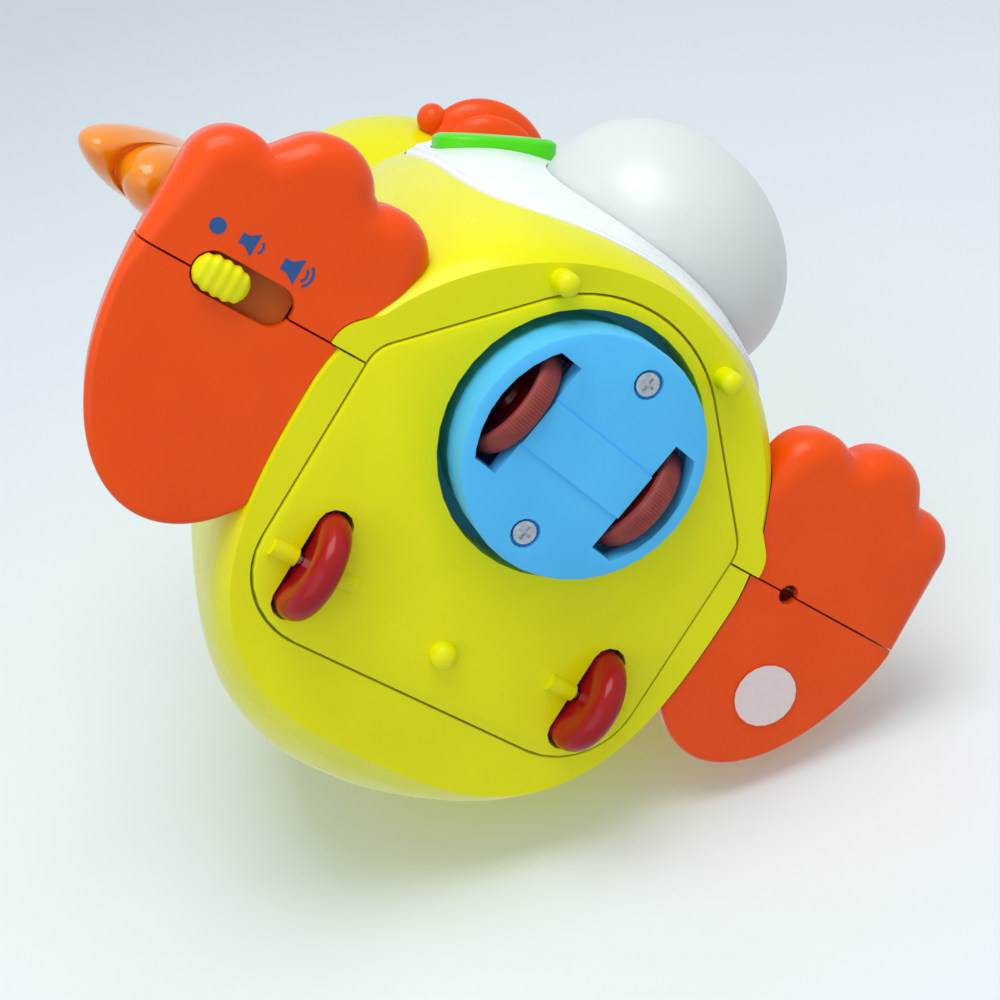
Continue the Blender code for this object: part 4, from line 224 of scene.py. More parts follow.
# Wings
WING_PIVOT = (41.5, 96.0)
WING_ROOT = 52
WING_TIP = 103.4
WING_BOTTOM = 38
WING_TOP = 106
WING_HALF_THICK = 8.2
WING_TIP_THICK_SHARE = 0.58
WING_FORWARD = 4.0
WING_SWEEP = 1.5
WING_HEART_SHARE = (0.46, 0.46)
WING_OUTLINE_SHARES = [
    (0.00, 0.97),
    (0.09, 1.00),
    (0.25, 0.95),
    (0.52, 0.76),
    (0.74, 0.55),
    (0.90, 0.37),
    (0.98, 0.26),
    (1.00, 0.18),
    (0.96, 0.11),
    (0.88, 0.10),
    (0.83, 0.15),
    (0.79, 0.06),
    (0.72, 0.02),
    (0.65, 0.04),
    (0.61, 0.10),
    (0.55, 0.02),
    (0.46, 0.00),
    (0.37, 0.05),
    (0.26, 0.20),
    (0.12, 0.42),
    (0.03, 0.60),
    (0.00, 0.72),
]
# where the grooves between the feathers meet the outline, as shares of its width and height
FEATHER_NOTCHES = [(0.83, 0.15), (0.61, 0.10)]
FEATHER_GROOVE = 0.16
FEATHER_GROOVE_WIDTH = 3.0
WING_TAB_LEVELS = (87, 95.8, 101)
WING_TAB_REACH_SHARE = 0.3
WING_HUB_RADIUS = 5.2
WING_HUB_HALF = 2.5
WING_PIN_RADIUS = 2.0
WING_PIN_HALF = 6.2
WING_LEVER_LENGTH = 24
WING_LEVER_HALF = 1.5
WING_LEVER_HALF_HEIGHT = 2

# Wheels, in the drive unit's own turned frame and in the base plate
DRIVE_TURN = math.radians(8.3)
DRIVE_AXLE_UP = 0.6
DRIVE_WHEEL_RADIUS = 12.0
DRIVE_WHEEL_SPAN = (14.2, 18.8)
KNURLS = 108
KNURL_DEPTH = 0.22
DRIVE_BORE = 1.6
TREAD_SIDE = 1.7
REAR_BORE = 1.3
REAR_WHEEL_SIDE = 33.3
REAR_WHEEL_BACK = 44.5
REAR_WHEEL_RADIUS = 11.4
REAR_WHEEL_HALF = 3.1


def at(x, y, z):
    """A place measured in millimetres from the drive disc's centre."""
    return Vector((x, y + DISC_BACK, z + PLATE_UP)) * MM


def linear(hex_code):
    """An sRGB hex value as linear red, green, blue and alpha."""
    channels = [int(hex_code[i : i + 2], 16) / 255 for i in (1, 3, 5)]
    bent = [c / 12.92 if c <= 0.04045 else ((c + 0.055) / 1.055) ** 2.4 for c in channels]
    return (*bent, 1.0)


def per_mm(size):
    """A texture's scale for features of this size in millimetres."""
    return 1 / (size * MM)


def add(tree, kind, feeds=None, **settings):
    """Adds a node with its settings. Feeds are values or the sockets that link to its inputs."""
    made = tree.nodes.new(kind)
    for name, value in settings.items():
        setattr(made, name, value)
    for name, value in (feeds or {}).items():
        socket = made.inputs[name]
        if isinstance(value, bpy.types.NodeSocket):
            tree.links.new(value, socket)
        else:
            socket.default_value = value
    return made


def new_material(name):
    """An empty node material and the object coordinates that its patterns use."""
    material = bpy.data.materials.new(name)
    material.use_nodes = True
    tree = material.node_tree
    tree.nodes.clear()
    place = add(tree, "ShaderNodeTexCoord").outputs["Object"]
    return material, tree, place


def finish_material(material, tree, shader):
    """Links the shader to the material's output."""
    add(tree, "ShaderNodeOutputMaterial", {"Surface": shader.outputs[0]})
    return material


def mottled(tree, place, colour, shade, patch, detail=3):
    """A colour that drifts to a second one in soft patches of this size in millimetres."""
    noise = add(tree, "ShaderNodeTexNoise", {"Vector": place, "Scale": per_mm(patch), "Detail": detail})
    limits = {"Value": noise.outputs["Fac"], "From Min": 0.3, "From Max": 0.7}
    share = add(tree, "ShaderNodeMapRange", limits)
    mixed = add(tree, "ShaderNodeMix", {"Factor": share.outputs["Result"]}, data_type="RGBA")
    mixed.inputs[6].default_value = linear(shade)
    mixed.inputs[7].default_value = linear(colour)
    return mixed.outputs[2]


def varied(tree, place, low, high, patch, detail=4):
    """A value that drifts between two limits in patches of this size in millimetres."""
    noise = add(tree, "ShaderNodeTexNoise", {"Vector": place, "Scale": per_mm(patch), "Detail": detail})
    limits = {"Value": noise.outputs["Fac"], "From Min": 0.3, "From Max": 0.7, "To Min": low, "To Max": high}
    return add(tree, "ShaderNodeMapRange", limits).outputs["Result"]


def peel(tree, place, size, height):
    """Bump from noise with features of this size and height in millimetres."""
    noise = add(tree, "ShaderNodeTexNoise", {"Vector": place, "Scale": per_mm(size), "Detail": 2})
    feeds = {"Height": noise.outputs["Fac"], "Strength": 1.0, "Distance": height * MM}
    return add(tree, "ShaderNodeBump", feeds).outputs["Normal"]


def rub_marks(tree, place, length, width):
    """Fine rubbed streaks of this length and width in millimetres, as a share from 0 to 1."""
    stretch = add(tree, "ShaderNodeMapping", {"Vector": place, "Rotation": (0.4, 0.9, 0.3)})
    stretch.inputs["Scale"].default_value = (per_mm(length), per_mm(width), per_mm(width))
    noise = add(tree, "ShaderNodeTexNoise", {"Vector": stretch.outputs["Vector"], "Scale": 1.0, "Detail": 2})
    limits = {"Value": noise.outputs["Fac"], "From Min": 0.68, "From Max": 0.74}
    return add(tree, "ShaderNodeMapRange", limits).outputs["Result"]


def moulded_abs(name, colour, shade, smooth=0.22, dull=0.34, glow=0.06, ior=1.54):
    """ABS moulded in a polished tool: even colour and a sharp gloss over faint orange peel.

    Handling leaves soft patches and fine rubbed streaks, which show only in the highlights.
    """
    material, tree, place = new_material(name)
    rubbed = rub_marks(tree, place, length=14, width=0.25)
    base = varied(tree, place, smooth, dull, patch=9)
    rough = add(tree, "ShaderNodeMath", {0: rubbed, 1: 0.10, 2: base}, operation="MULTIPLY_ADD")
    shader = add(
        tree,
        "ShaderNodeBsdfPrincipled",
        {
            "Base Color": mottled(tree, place, colour, shade, patch=26),
            "Roughness": rough.outputs[0],
            "IOR": ior,
            "Specular IOR Level": SHEEN,
            "Subsurface Weight": glow,
            "Subsurface Radius": (1.0, 0.8, 0.3),
            "Subsurface Scale": 1.2 * MM,
            "Normal": peel(tree, place, size=1.6, height=0.012),
        },
    )
    return finish_material(material, tree, shader)


def satin_abs(name, colour, shade):
    """ABS moulded in a finely sparked tool: a soft sheen from grain too fine to see, drawn at 0.35 mm."""
    material, tree, place = new_material(name)
    shader = add(
        tree,
        "ShaderNodeBsdfPrincipled",
        {
            "Base Color": mottled(tree, place, colour, shade, patch=22),
            "Roughness": varied(tree, place, 0.40, 0.50, patch=8),
            "IOR": 1.54,
            "Specular IOR Level": SHEEN,
            "Subsurface Weight": 0.06,
            "Subsurface Radius": (0.5, 0.8, 1.0),
            "Subsurface Scale": 1.0 * MM,
            "Normal": peel(tree, place, size=0.35, height=0.006),
        },
    )
    return finish_material(material, tree, shader)


def milky_pc(name, colour, shade):
    """Polycarbonate with white filler, blown thin: light goes in and comes out soft and greenish."""
    material, tree, place = new_material(name)
    shader = add(
        tree,
        "ShaderNodeBsdfPrincipled",
        {
            "Base Color": mottled(tree, place, colour, shade, patch=30),
            "Roughness": varied(tree, place, 0.30, 0.38, patch=12),
            "IOR": 1.58,
            "Subsurface Weight": 0.8,
            "Subsurface Radius": (1.0, 1.0, 0.9),
            "Subsurface Scale": 6 * MM,
            "Normal": peel(tree, place, size=2.4, height=0.010),
        },
    )
    return finish_material(material, tree, shader)


def clear_pc(name, colour, rough=0.16, through=0.75):
    """Dyed polycarbonate, moulded clear: light passes and picks up the dye, so edges look deeper."""
    material, tree, place = new_material(name)
    shader = add(
        tree,
        "ShaderNodeBsdfPrincipled",
        {
            "Base Color": mottled(tree, place, colour, colour, patch=20),
            "Roughness": varied(tree, place, rough, rough + 0.06, patch=10),
            "IOR": 1.58,
            "Transmission Weight": through,
            "Subsurface Weight": 0.5,
            "Subsurface Radius": (1.0, 0.45, 0.1),
            "Subsurface Scale": 5 * MM,
            "Normal": peel(tree, place, size=2.0, height=0.012),
        },
    )
    return finish_material(material, tree, shader)


def soft_pvc(name, colour, shade):
    """Soft PVC moulded over a hub: dull, a little dusty, with a grain of about 0.4 mm."""
    material, tree, place = new_material(name)
    shader = add(
        tree,
        "ShaderNodeBsdfPrincipled",
        {
            "Base Color": mottled(tree, place, colour, shade, patch=3.5, detail=5),
            "Roughness": varied(tree, place, 0.48, 0.66, patch=5),
            "IOR": 1.52,
            "Subsurface Weight": 0.05,
            "Subsurface Radius": (1.0, 0.2, 0.1),
            "Subsurface Scale": 0.8 * MM,
            "Normal": peel(tree, place, size=0.4, height=0.02),
        },
    )
    return finish_material(material, tree, shader)


def zinc_steel(name, colour, shade):
    """Zinc-plated steel, cold headed: bright metal with a fine tooled grain and dull spots."""
    material, tree, place = new_material(name)
    shader = add(
        tree,
        "ShaderNodeBsdfPrincipled",
        {
            "Base Color": mottled(tree, place, colour, shade, patch=1.2, detail=5),
            "Metallic": 1.0,
            "Roughness": varied(tree, place, 0.20, 0.38, patch=0.8),
            "Normal": peel(tree, place, size=0.25, height=0.006),
        },
    )
    return finish_material(material, tree, shader)


def solder_mask(name, colour, shade):
    """Fibreglass laminate under solder mask: glossy green over a weave of about 0.6 mm."""
    material, tree, place = new_material(name)
    threads = {"Vector": place, "Scale": per_mm(0.6) / math.tau, "Distortion": 0.6}
    weave = add(tree, "ShaderNodeTexWave", threads)
    relief = {"Height": weave.outputs["Fac"], "Strength": 0.4, "Distance": 0.01 * MM}
    woven = add(tree, "ShaderNodeBump", relief)
    shader = add(
        tree,
        "ShaderNodeBsdfPrincipled",
        {
            "Base Color": mottled(tree, place, colour, shade, patch=2.5),
            "Roughness": varied(tree, place, 0.28, 0.42, patch=6),
            "Normal": woven.outputs["Normal"],
        },
    )
    return finish_material(material, tree, shader)


def coated_paper(name, colour, shade):
    """Coated label paper, die cut: nearly matt, with fibres of about 0.5 mm just showing."""
    material, tree, place = new_material(name)
    shader = add(
        tree,
        "ShaderNodeBsdfPrincipled",
        {
            "Base Color": mottled(tree, place, colour, shade, patch=1.4, detail=6),
            "Roughness": varied(tree, place, 0.52, 0.64, patch=3),
            "Normal": peel(tree, place, size=0.5, height=0.012),
        },
    )
    return finish_material(material, tree, shader)


FINISHES = {
    "yellow_plastic": moulded_abs("moulded_abs_yellow", "#EAEA00", "#E2E300"),
    "orange_plastic": moulded_abs("moulded_abs_orange", "#F55200", "#EE4C00"),
    "blue_plastic": satin_abs("satin_abs_blue", "#58C6FF", "#52BFFB"),
    "white_plastic": moulded_abs("moulded_abs_white", "#F1F6F8", "#EDF3F6"),
    "green_plastic": moulded_abs("moulded_abs_green", "#55DE16", "#4DD812"),
    "red_plastic": moulded_abs("moulded_abs_red", "#A81418", "#9C1014", 0.14, 0.24),
    "maroon_plastic": soft_pvc("soft_pvc_maroon", "#983A32", "#862E28"),
    "black_plastic": moulded_abs("moulded_abs_black", "#101012", "#16161A", 0.12, 0.22),
    "milky_globe": milky_pc("milky_polycarbonate", "#E6F4EC", "#E1EFE7"),
    "clear_orange": clear_pc("clear_polycarbonate_orange", "#FF9A10", 0.14, 0.15),
    "steel": zinc_steel("zinc_plated_steel", "#C9CBCD", "#A9ACB0"),
    "board": solder_mask("solder_mask_laminate", "#14662C", "#0F5524"),
    "label_paper": coated_paper("coated_label_paper", "#EAD9D6", "#E4D2CF"),
    "battery_skin": moulded_abs("shrunk_battery_sleeve", "#222428", "#1B1D20", 0.24, 0.34),
    "led_clear": clear_pc("clear_epoxy", "#F4F4EC", 0.08, 0.9),
}
HUB_FINISH = moulded_abs("moulded_abs_dark_red", "#6A0808", "#5E0606", 0.12, 0.20)
# The sliding strip is yellow plastic; this brown is painted shade: the yellow darkened by the slot's shadow
# and reddened by bounce light from the orange foot.
STRIP_PAINTED_SHADE_FINISH = satin_abs("satin_abs_brown_painted_shade", "#B85A12", "#AC520E")
INK_FINISH = satin_abs("pad_printed_ink_blue", "#2E5C98", "#2A558F")


def link(obj):
    """Puts an object into the scene."""
    bpy.context.scene.collection.objects.link(obj)
    return obj


def stands_for(piece, slot, body, *nodes):
    """Gives a piece its finish and its body, and hides the CAD nodes that it stands for."""
    piece.data.materials.clear()
    piece.data.materials.append(FINISHES[slot])
    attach(piece, body)
    if nodes:
        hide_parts(*nodes)
    return piece


NODE_BODY = {node: body for body, nodes in frame["record"]["behaviour"]["bodies"].items() for node in nodes}


def smoothed(node, slot, angle=30):
    """A copy of a CAD solid with its corners joined and its curved faces shaded smooth."""
    form = bmesh.new()
    form.from_mesh(frame["nodes"][node].data)
    bmesh.ops.remove_doubles(form, verts=form.verts, dist=0.01 * MM)
    bmesh.ops.dissolve_degenerate(form, edges=form.edges, dist=0.005 * MM)
    for face in form.faces:
        face.smooth = True
    for edge in form.edges:
        edge.smooth = len(edge.link_faces) == 2 and edge.calc_face_angle(0) < math.radians(angle)
    mesh = bpy.data.meshes.new(node + "_fine")
    form.to_mesh(mesh)
    form.free()
    piece = link(bpy.data.objects.new(node + "_fine", mesh))
    return stands_for(piece, slot, NODE_BODY[node], node)


def keep_mesh(name, form):
    """A new object from a bmesh, with its faces turned outwards."""
    bmesh.ops.recalc_face_normals(form, faces=form.faces)
    mesh = bpy.data.meshes.new(name)
    form.to_mesh(mesh)
    form.free()
    return link(bpy.data.objects.new(name, mesh))


def loft(rings, name="loft", closed=False):
    """Skins rings that have the same number of points and caps both ends, or joins them round."""
    form = bmesh.new()
    rows = [[form.verts.new(point) for point in ring] for ring in rings]
    pairs = list(zip(rows, rows[1:]))
    if closed:
        pairs.append((rows[-1], rows[0]))
    for lower, upper in pairs:
        for i in range(len(lower)):
            j = (i + 1) % len(lower)
            form.faces.new((lower[i], lower[j], upper[j], upper[i]))
    if not closed:
        form.faces.new(list(reversed(rows[0])))
        form.faces.new(rows[-1])
    return keep_mesh(name, form)


def slab_flat(points, low, high):
    """An outline in X and Y, from a low to a high level."""
    return loft([[at(x, y, z) for x, y in points] for z in (low, high)], "slab")


def slab_across(points, front, back):
    """An outline in X and Z, from front to back along Y."""
    return loft([[at(x, y, z) for x, z in points] for y in (front, back)], "slab")


def box(low, high):
    """A block between two corners, in millimetres."""
    corners = [(low[0], low[1]), (high[0], low[1]), (high[0], high[1]), (low[0], high[1])]
    return slab_flat(corners, low[2], high[2])


def ellipsoid(place, radii, turn=Matrix.Identity(4), sides=96):
    """A ball with its own radius each way, turned about its middle, with its faces in a fixed order."""
    form = bmesh.new()
    matrix = Matrix.Translation(place) @ turn @ Matrix.Diagonal((*[r * MM for r in radii], 1.0))
    levels = sides // 2
    rows = []
    for level in range(1, levels):
        spots = arc((0, 0), math.sin(math.pi * level / levels), 0, math.tau * (1 - 1 / sides), sides)
        height = math.cos(math.pi * level / levels)
        rows.append([form.verts.new(matrix @ Vector((x, y, height))) for x, y in spots])
    top, bottom = [form.verts.new(matrix @ Vector((0, 0, end))) for end in (1, -1)]
    for i in range(sides):
        j = (i + 1) % sides
        form.faces.new((top, rows[0][i], rows[0][j]))
        for upper, lower in zip(rows, rows[1:]):
            form.faces.new((upper[i], lower[i], lower[j], upper[j]))
        form.faces.new((rows[-1][i], bottom, rows[-1][j]))
    return keep_mesh("ellipsoid", form)


def rod(start, end, radius, sides=48):
    """A round rod between two places, with its radius in millimetres."""
    form = bmesh.new()
    turn = (end - start).to_track_quat("Z", "Y").to_matrix().to_4x4()
    matrix = Matrix.Translation((start + end) / 2) @ turn
    size = {"radius1": radius * MM, "radius2": radius * MM, "depth": (end - start).length}
    bmesh.ops.create_cone(form, cap_ends=True, segments=sides, matrix=matrix, **size)
    return keep_mesh("rod", form)


def combine(target, operation, *tools):
    """Cuts the tools away, joins them on or keeps what is inside them, and removes them."""
    for tool in tools:
        change = target.modifiers.new("change", "BOOLEAN")
        change.object = tool
        change.operation = operation
        change.solver = "EXACT"
    graph = bpy.context.evaluated_depsgraph_get()
    graph.update()
    mesh = bpy.data.meshes.new_from_object(target.evaluated_get(graph))
    target.modifiers.clear()
    target.data = mesh
    for tool in tools:
        bpy.data.objects.remove(tool, do_unlink=True)
    return target


def cut(target, *tools):
    return combine(target, "DIFFERENCE", *tools)


def join(target, *tools):
    return combine(target, "UNION", *tools)


def keep(target, tool):
    return combine(target, "INTERSECT", tool)


def twin(piece):
    """A copy of a piece with a mesh of its own."""
    return link(bpy.data.objects.new("twin", piece.data.copy()))


def front_region():
    return box((-SPAN, -SPAN, -SPAN), (SPAN, SEAM_BACK - SEAM_HALF_GAP, SPAN))


def rear_region():
    return box((-SPAN, SEAM_BACK + SEAM_HALF_GAP, -SPAN), (SPAN, SPAN, SPAN))


def part_off(piece, y, side):
    """Takes away what lies behind (1) or before (-1) a plane across the toy, and closes the cut."""
    form = bmesh.new()
    form.from_mesh(piece.data)
    bmesh.ops.remove_doubles(form, verts=form.verts, dist=WELD * MM)
    every = form.verts[:] + form.edges[:] + form.faces[:]
    way = Vector((0, side, 0))
    bmesh.ops.bisect_plane(form, geom=every, plane_co=at(0, y, 0), plane_no=way, clear_outer=True)
    rim = [edge for edge in form.edges if len(edge.link_faces) == 1]
    bmesh.ops.triangle_fill(form, edges=rim, use_beauty=True, normal=way)
    bmesh.ops.recalc_face_normals(form, faces=form.faces)
    form.to_mesh(piece.data)
    form.free()
    return piece


def shade_smooth(piece, angle=34):
    """Joins doubled corners, shades the surface smooth and keeps its real edges sharp."""
    form = bmesh.new()
    form.from_mesh(piece.data)
    bmesh.ops.remove_doubles(form, verts=form.verts, dist=WELD * MM)
    for face in form.faces:
        face.smooth = True
    for edge in form.edges:
        edge.smooth = len(edge.link_faces) == 2 and edge.calc_face_angle(0) < math.radians(angle)
    form.to_mesh(piece.data)
    form.free()
    return piece


def made(piece, name, slot, body, *nodes, angle=34):
    """Names a finished piece, gives it its shading, finish and body, and hides the CAD nodes that it stands
    for.
    """
    piece.name = name
    piece.data.name = name
    shade_smooth(piece, angle)
    return stands_for(piece, slot, body, *nodes)


def through_points(points, steps, closed=True):
    """A smooth curve through rows of numbers, with steps places from each one to the next."""
    rows = [Vector(point) for point in points]
    count = len(rows)
    result = []
    for i in range(count if closed else count - 1):
        if closed:
            before, start, end, after = [rows[(i + k) % count] for k in (-1, 0, 1, 2)]
        else:
            before, start, end, after = [rows[min(max(i + k, 0), count - 1)] for k in (-1, 0, 1, 2)]
        for j in range(steps):
            t = j / steps
            result.append(
                start
                + (end - before) * t / 2
                + (before * 2 - start * 5 + end * 4 - after) * t**2 / 2
                + (start * 3 - before - end * 3 + after) * t**3 / 2
            )
    return result if closed else result + [rows[-1]]


def arc(centre, radius, start, end, count):
    """Points round part of a circle."""
    angles = [start + (end - start) * i / (count - 1) for i in range(count)]
    return [(centre[0] + radius * math.cos(a), centre[1] + radius * math.sin(a)) for a in angles]


def body_ring(shares, inset, up):
    """The body's outline at one level: a rounded shape, squarer where its power is higher."""
    _, width, front, rear, widest, front_power, rear_power = shares
    half = width * BODY_HALF_WIDTH - inset
    middle = widest * BODY_REAR
    front = -front * BODY_FRONT + inset
    rear = rear * BODY_REAR - inset
    ring = []
    for i in range(BODY_SIDES):
        c, s = math.cos(math.tau * i / BODY_SIDES), math.sin(math.tau * i / BODY_SIDES)
        power = 2 / (rear_power if s > 0 else front_power)
        reach = rear - middle if s > 0 else middle - front
        x = half * math.copysign(abs(c) ** power, c)
        ring.append(at(x, middle + reach * math.copysign(abs(s) ** power, s), up))
    return ring


def body_form(inset=0.0):
    """The whole body, drawn in by inset all round, its floor and top too."""
    rows = through_points(BODY_SHARES, ROW_STEPS, closed=False)
    floor = BODY_SHARES[0][0] * BODY_HEIGHT + max(inset, 0)
    top = BODY_HEIGHT - max(inset, 0)
    inner = [row for row in rows[1:-1] if floor < row[0] * BODY_HEIGHT < top]
    rings = [body_ring(rows[0], inset, floor)]
    rings += [body_ring(row, inset, row[0] * BODY_HEIGHT) for row in inner]
    rings.append(body_ring(rows[-1], inset, top))
    return loft(rings, "body_form")


def rim_corner(side, grow=0.0):
    """The flat corner of the rim in front of the seam."""
    width, corner = RIM_CORNER_WIDTH + grow, RIM_CORNER_ROUND + grow
    diagonal = RIM_CORNER_DIAGONAL + grow * math.sqrt(2)
    centre = (width - corner, width - diagonal + corner * math.tan(math.pi / 8))
    points = [(0, SEAM_BACK), (0, RIM_NOTCH_WIDTH - diagonal)]
    points.append((RIM_NOTCH_WIDTH, RIM_NOTCH_WIDTH - diagonal))
    points += arc(centre, corner, -math.pi / 4, 0, 16)
    points.append((width, SEAM_BACK))
    floor = BODY_SHARES[0][0] * BODY_HEIGHT
    return slab_flat([(side * x, y) for x, y in points], floor, floor + RIM_THICK + grow)


def plate_outline(grow=0.0):
    """The base plate's outline."""
    half, rear = PLATE_HALF_WIDTH + grow, PLATE_REAR + grow
    corner, front, fillet = PLATE_REAR_ROUND + grow, PLATE_FRONT_RADIUS + grow, PLATE_FRONT_CORNER + grow
    fillet_back = half - front * math.sqrt(2) + fillet * math.tan(math.pi / 8)
    left_half = arc((0, 0), front, -math.pi / 2, -math.pi / 4, 24)
    left_half += arc((half - fillet, fillet_back), fillet, -math.pi / 4, 0, 12)
    left_half += arc((half - corner, rear - corner), corner, 0, math.pi / 2, 24)
    return left_half + [(-x, y) for x, y in reversed(left_half[1:])]


def inward(points, depth):
    """The outline drawn in: depth gives each point's own distance."""
    count = len(points)
    result = []
    for i, (x, y) in enumerate(points):
        px, py = points[i - 1]
        nx, ny = points[(i + 1) % count]
        way = Vector((nx - px, ny - py)).normalized()
        result.append((x - way.y * depth[i], y + way.x * depth[i]))
    return result


def panel_window(grow=0.0):
    """The panel's rounded outline across the belly."""
    points = through_points([(x * BODY_HALF_WIDTH, up * BODY_HEIGHT) for x, up in PANEL_SHARES], 8)
    return inward(points, [grow] * len(points))


def rounded_window(half, low, high, corner):
    """An upright window with round corners."""
    points = []
    turns = [(half - corner, high - corner), (corner - half, high - corner)]
    turns += [(corner - half, low + corner), (half - corner, low + corner)]
    for quarter, centre in enumerate(turns):
        points += arc(centre, corner, quarter * math.pi / 2, (quarter + 1) * math.pi / 2, 12)
    return points


def turned(profile, matrix, steps=64, name="turned"):
    """A profile of (radius, height) pairs in millimetres, turned round Z; its ends close on the axis."""
    rings = []
    angles = [math.tau * i / steps for i in range(steps)]
    for radius, height in profile:
        spots = [Vector((radius * math.cos(a), radius * math.sin(a), height)) for a in angles]
        rings.append([matrix @ (spot * MM) for spot in spots])
    return loft(rings, name)


def nub(x, y, level):
    """A round-ended nub that hangs below a level."""
    dome = NUB_RADIUS * 0.8
    profile = [(NUB_RADIUS, RIM_THICK / 3)]
    for i in range(9):
        angle = math.pi / 2 * i / 9
        profile.append((NUB_RADIUS * math.cos(angle), dome - NUB_HEIGHT - dome * math.sin(angle)))
    profile.append((NUB_RADIUS * 0.05, -NUB_HEIGHT))
    return turned(profile, Matrix.Translation(at(x, y, level)), 32, "nub")


def globe_matrix():
    """Where the globe sits, with its own Z pointing out of the belly."""
    turn = Matrix.Rotation(GLOBE_TURN, 4, "Z") @ Matrix.Rotation(math.pi / 2, 4, "X")
    return Matrix.Translation(at(*GLOBE_PLACE)) @ turn


def globe_form(extra=0.0):
    radii = (GLOBE_RADIUS + extra, GLOBE_RADIUS + extra, GLOBE_DEPTH + extra)
    form = ellipsoid(Vector(), radii)
    form.data.transform(globe_matrix())
    return form


def button_matrix():
    """Where the button sits, with its own Z pointing out of the panel."""
    turn = Matrix.Rotation(BUTTON_TURN, 4, "Z") @ Matrix.Rotation(BUTTON_LEAN, 4, "X")
    return Matrix.Translation(at(*BUTTON_PLACE)) @ turn @ Matrix.Rotation(math.pi / 2, 4, "X")


def button_ring(reach, grow, height):
    """The button's rounded outline at a height above the panel."""
    ring = []
    power = 2 / BUTTON_SQUARENESS
    for i in range(72):
        c, s = math.cos(math.tau * i / 72), math.sin(math.tau * i / 72)
        x = (BUTTON_HALF[0] * reach + grow) * math.copysign(abs(c) ** power, c)
        y = (BUTTON_HALF[1] * reach + grow) * math.copysign(abs(s) ** power, s)
        ring.append(button_matrix() @ (Vector((x, y, height)) * MM))
    return ring


def make_body_shells():
    """The yellow body: a hollow form, parted into a front and a rear shell at the seam."""
    whole = body_form()
    tail_turn = Matrix.Rotation(math.radians(TAIL["tilt"]), 4, "X")
    join(whole, rim_corner(1), rim_corner(-1), ellipsoid(at(*TAIL["place"]), TAIL["radii"], tail_turn))
    cut(whole, body_form(WALL))
    neck = (at(0, 0, NECK_LOW), at(0, 0, BODY_HEIGHT + CUT_PAST))
    head_room = ellipsoid(at(0, 0, HEAD_UP), [HEAD_RADIUS + HEAD_CLEARANCE] * 3)
    cut(whole, rod(*neck, NECK_HOLE_RADIUS), head_room)
    cut(whole, slab_flat(plate_outline(PLATE_GAP), -CUT_PAST, RIM_THICK + CUT_PAST))
    for side in (1, -1):
        edges = sorted((side * WING_SLOT["inner"], side * BODY_HALF_WIDTH))
        low = (edges[0], SEAM_BACK - WING_SLOT["half"], WING_SLOT["low"])
        high = (edges[1], SEAM_BACK + WING_SLOT["half"], WING_SLOT["high"])
        cut(whole, box(low, high))
    floor = BODY_SHARES[0][0] * BODY_HEIGHT
    join(whole, *[nub(x, y, floor) for x, y in NUB_PLACES])
    cut(whole, slab_across(panel_window(GAP), -SPAN / 2, -BODY_FRONT / 3), globe_form(GAP))
    window = rounded_window(COVER["half_width"], COVER["low"], COVER["high"], COVER["round"])
    cut(whole, slab_across(window, BODY_REAR / 2, SPAN / 2))
    grille = Matrix.Translation(at(*SPEAKER["place"]))
    grille = grille @ Matrix.Rotation(math.radians(SPEAKER["tilt"] - 90), 4, "X")
    for i in range(SPEAKER["slots"]):
        middle = (i - (SPEAKER["slots"] - 1) / 2) * SPEAKER["pitch"]
        half, wide = SPEAKER["slot"] / 2, SPEAKER["half_width"]
        slot = box((-wide, middle - half, 0), (wide, middle + half, BODY_REAR))
        slot.data.transform(grille @ Matrix.Translation(-at(0, 0, 0)))
        cut(whole, slot)
    for x, up in SHELL_SCREWS:
        cut(whole, rod(at(x, SEAM_BACK, up), at(x, BODY_REAR + CUT_PAST, up), SCREW_POCKET_RADIUS))
    front = keep(twin(whole), front_region())
    rear = keep(whole, rear_region())
    made(front, "front_body_form", "yellow_plastic", "body", "front_body_shell")
    made(rear, "rear_body_form", "yellow_plastic", "body", "rear_body_shell")


def foot_outline(side):
    """Round the foot from its outer side by the heel and the inner side to the toes, outwards +X."""
    count = 56
    angles = [math.pi * i / (count - 1) for i in range(count)]
    points = [(FOOT_HALF_WIDTH * math.cos(a), FOOT_REAR_LENGTH * math.sin(a)) for a in angles]
    for (x, forward, radius), (start, end) in zip(TOE_PLACES[side], TOE_ARCS):
        points += arc((x, -forward), radius, math.radians(start), math.radians(end), 22)
    return points


def toe_share(y):
    """1 on the toes, 0 on the heel, and smooth between."""
    share = min(1.0, max(0.0, (-y + FOOT_HALF_WIDTH / 6) / (FOOT_HALF_WIDTH / 2)))
    return share * share * (3 - 2 * share)


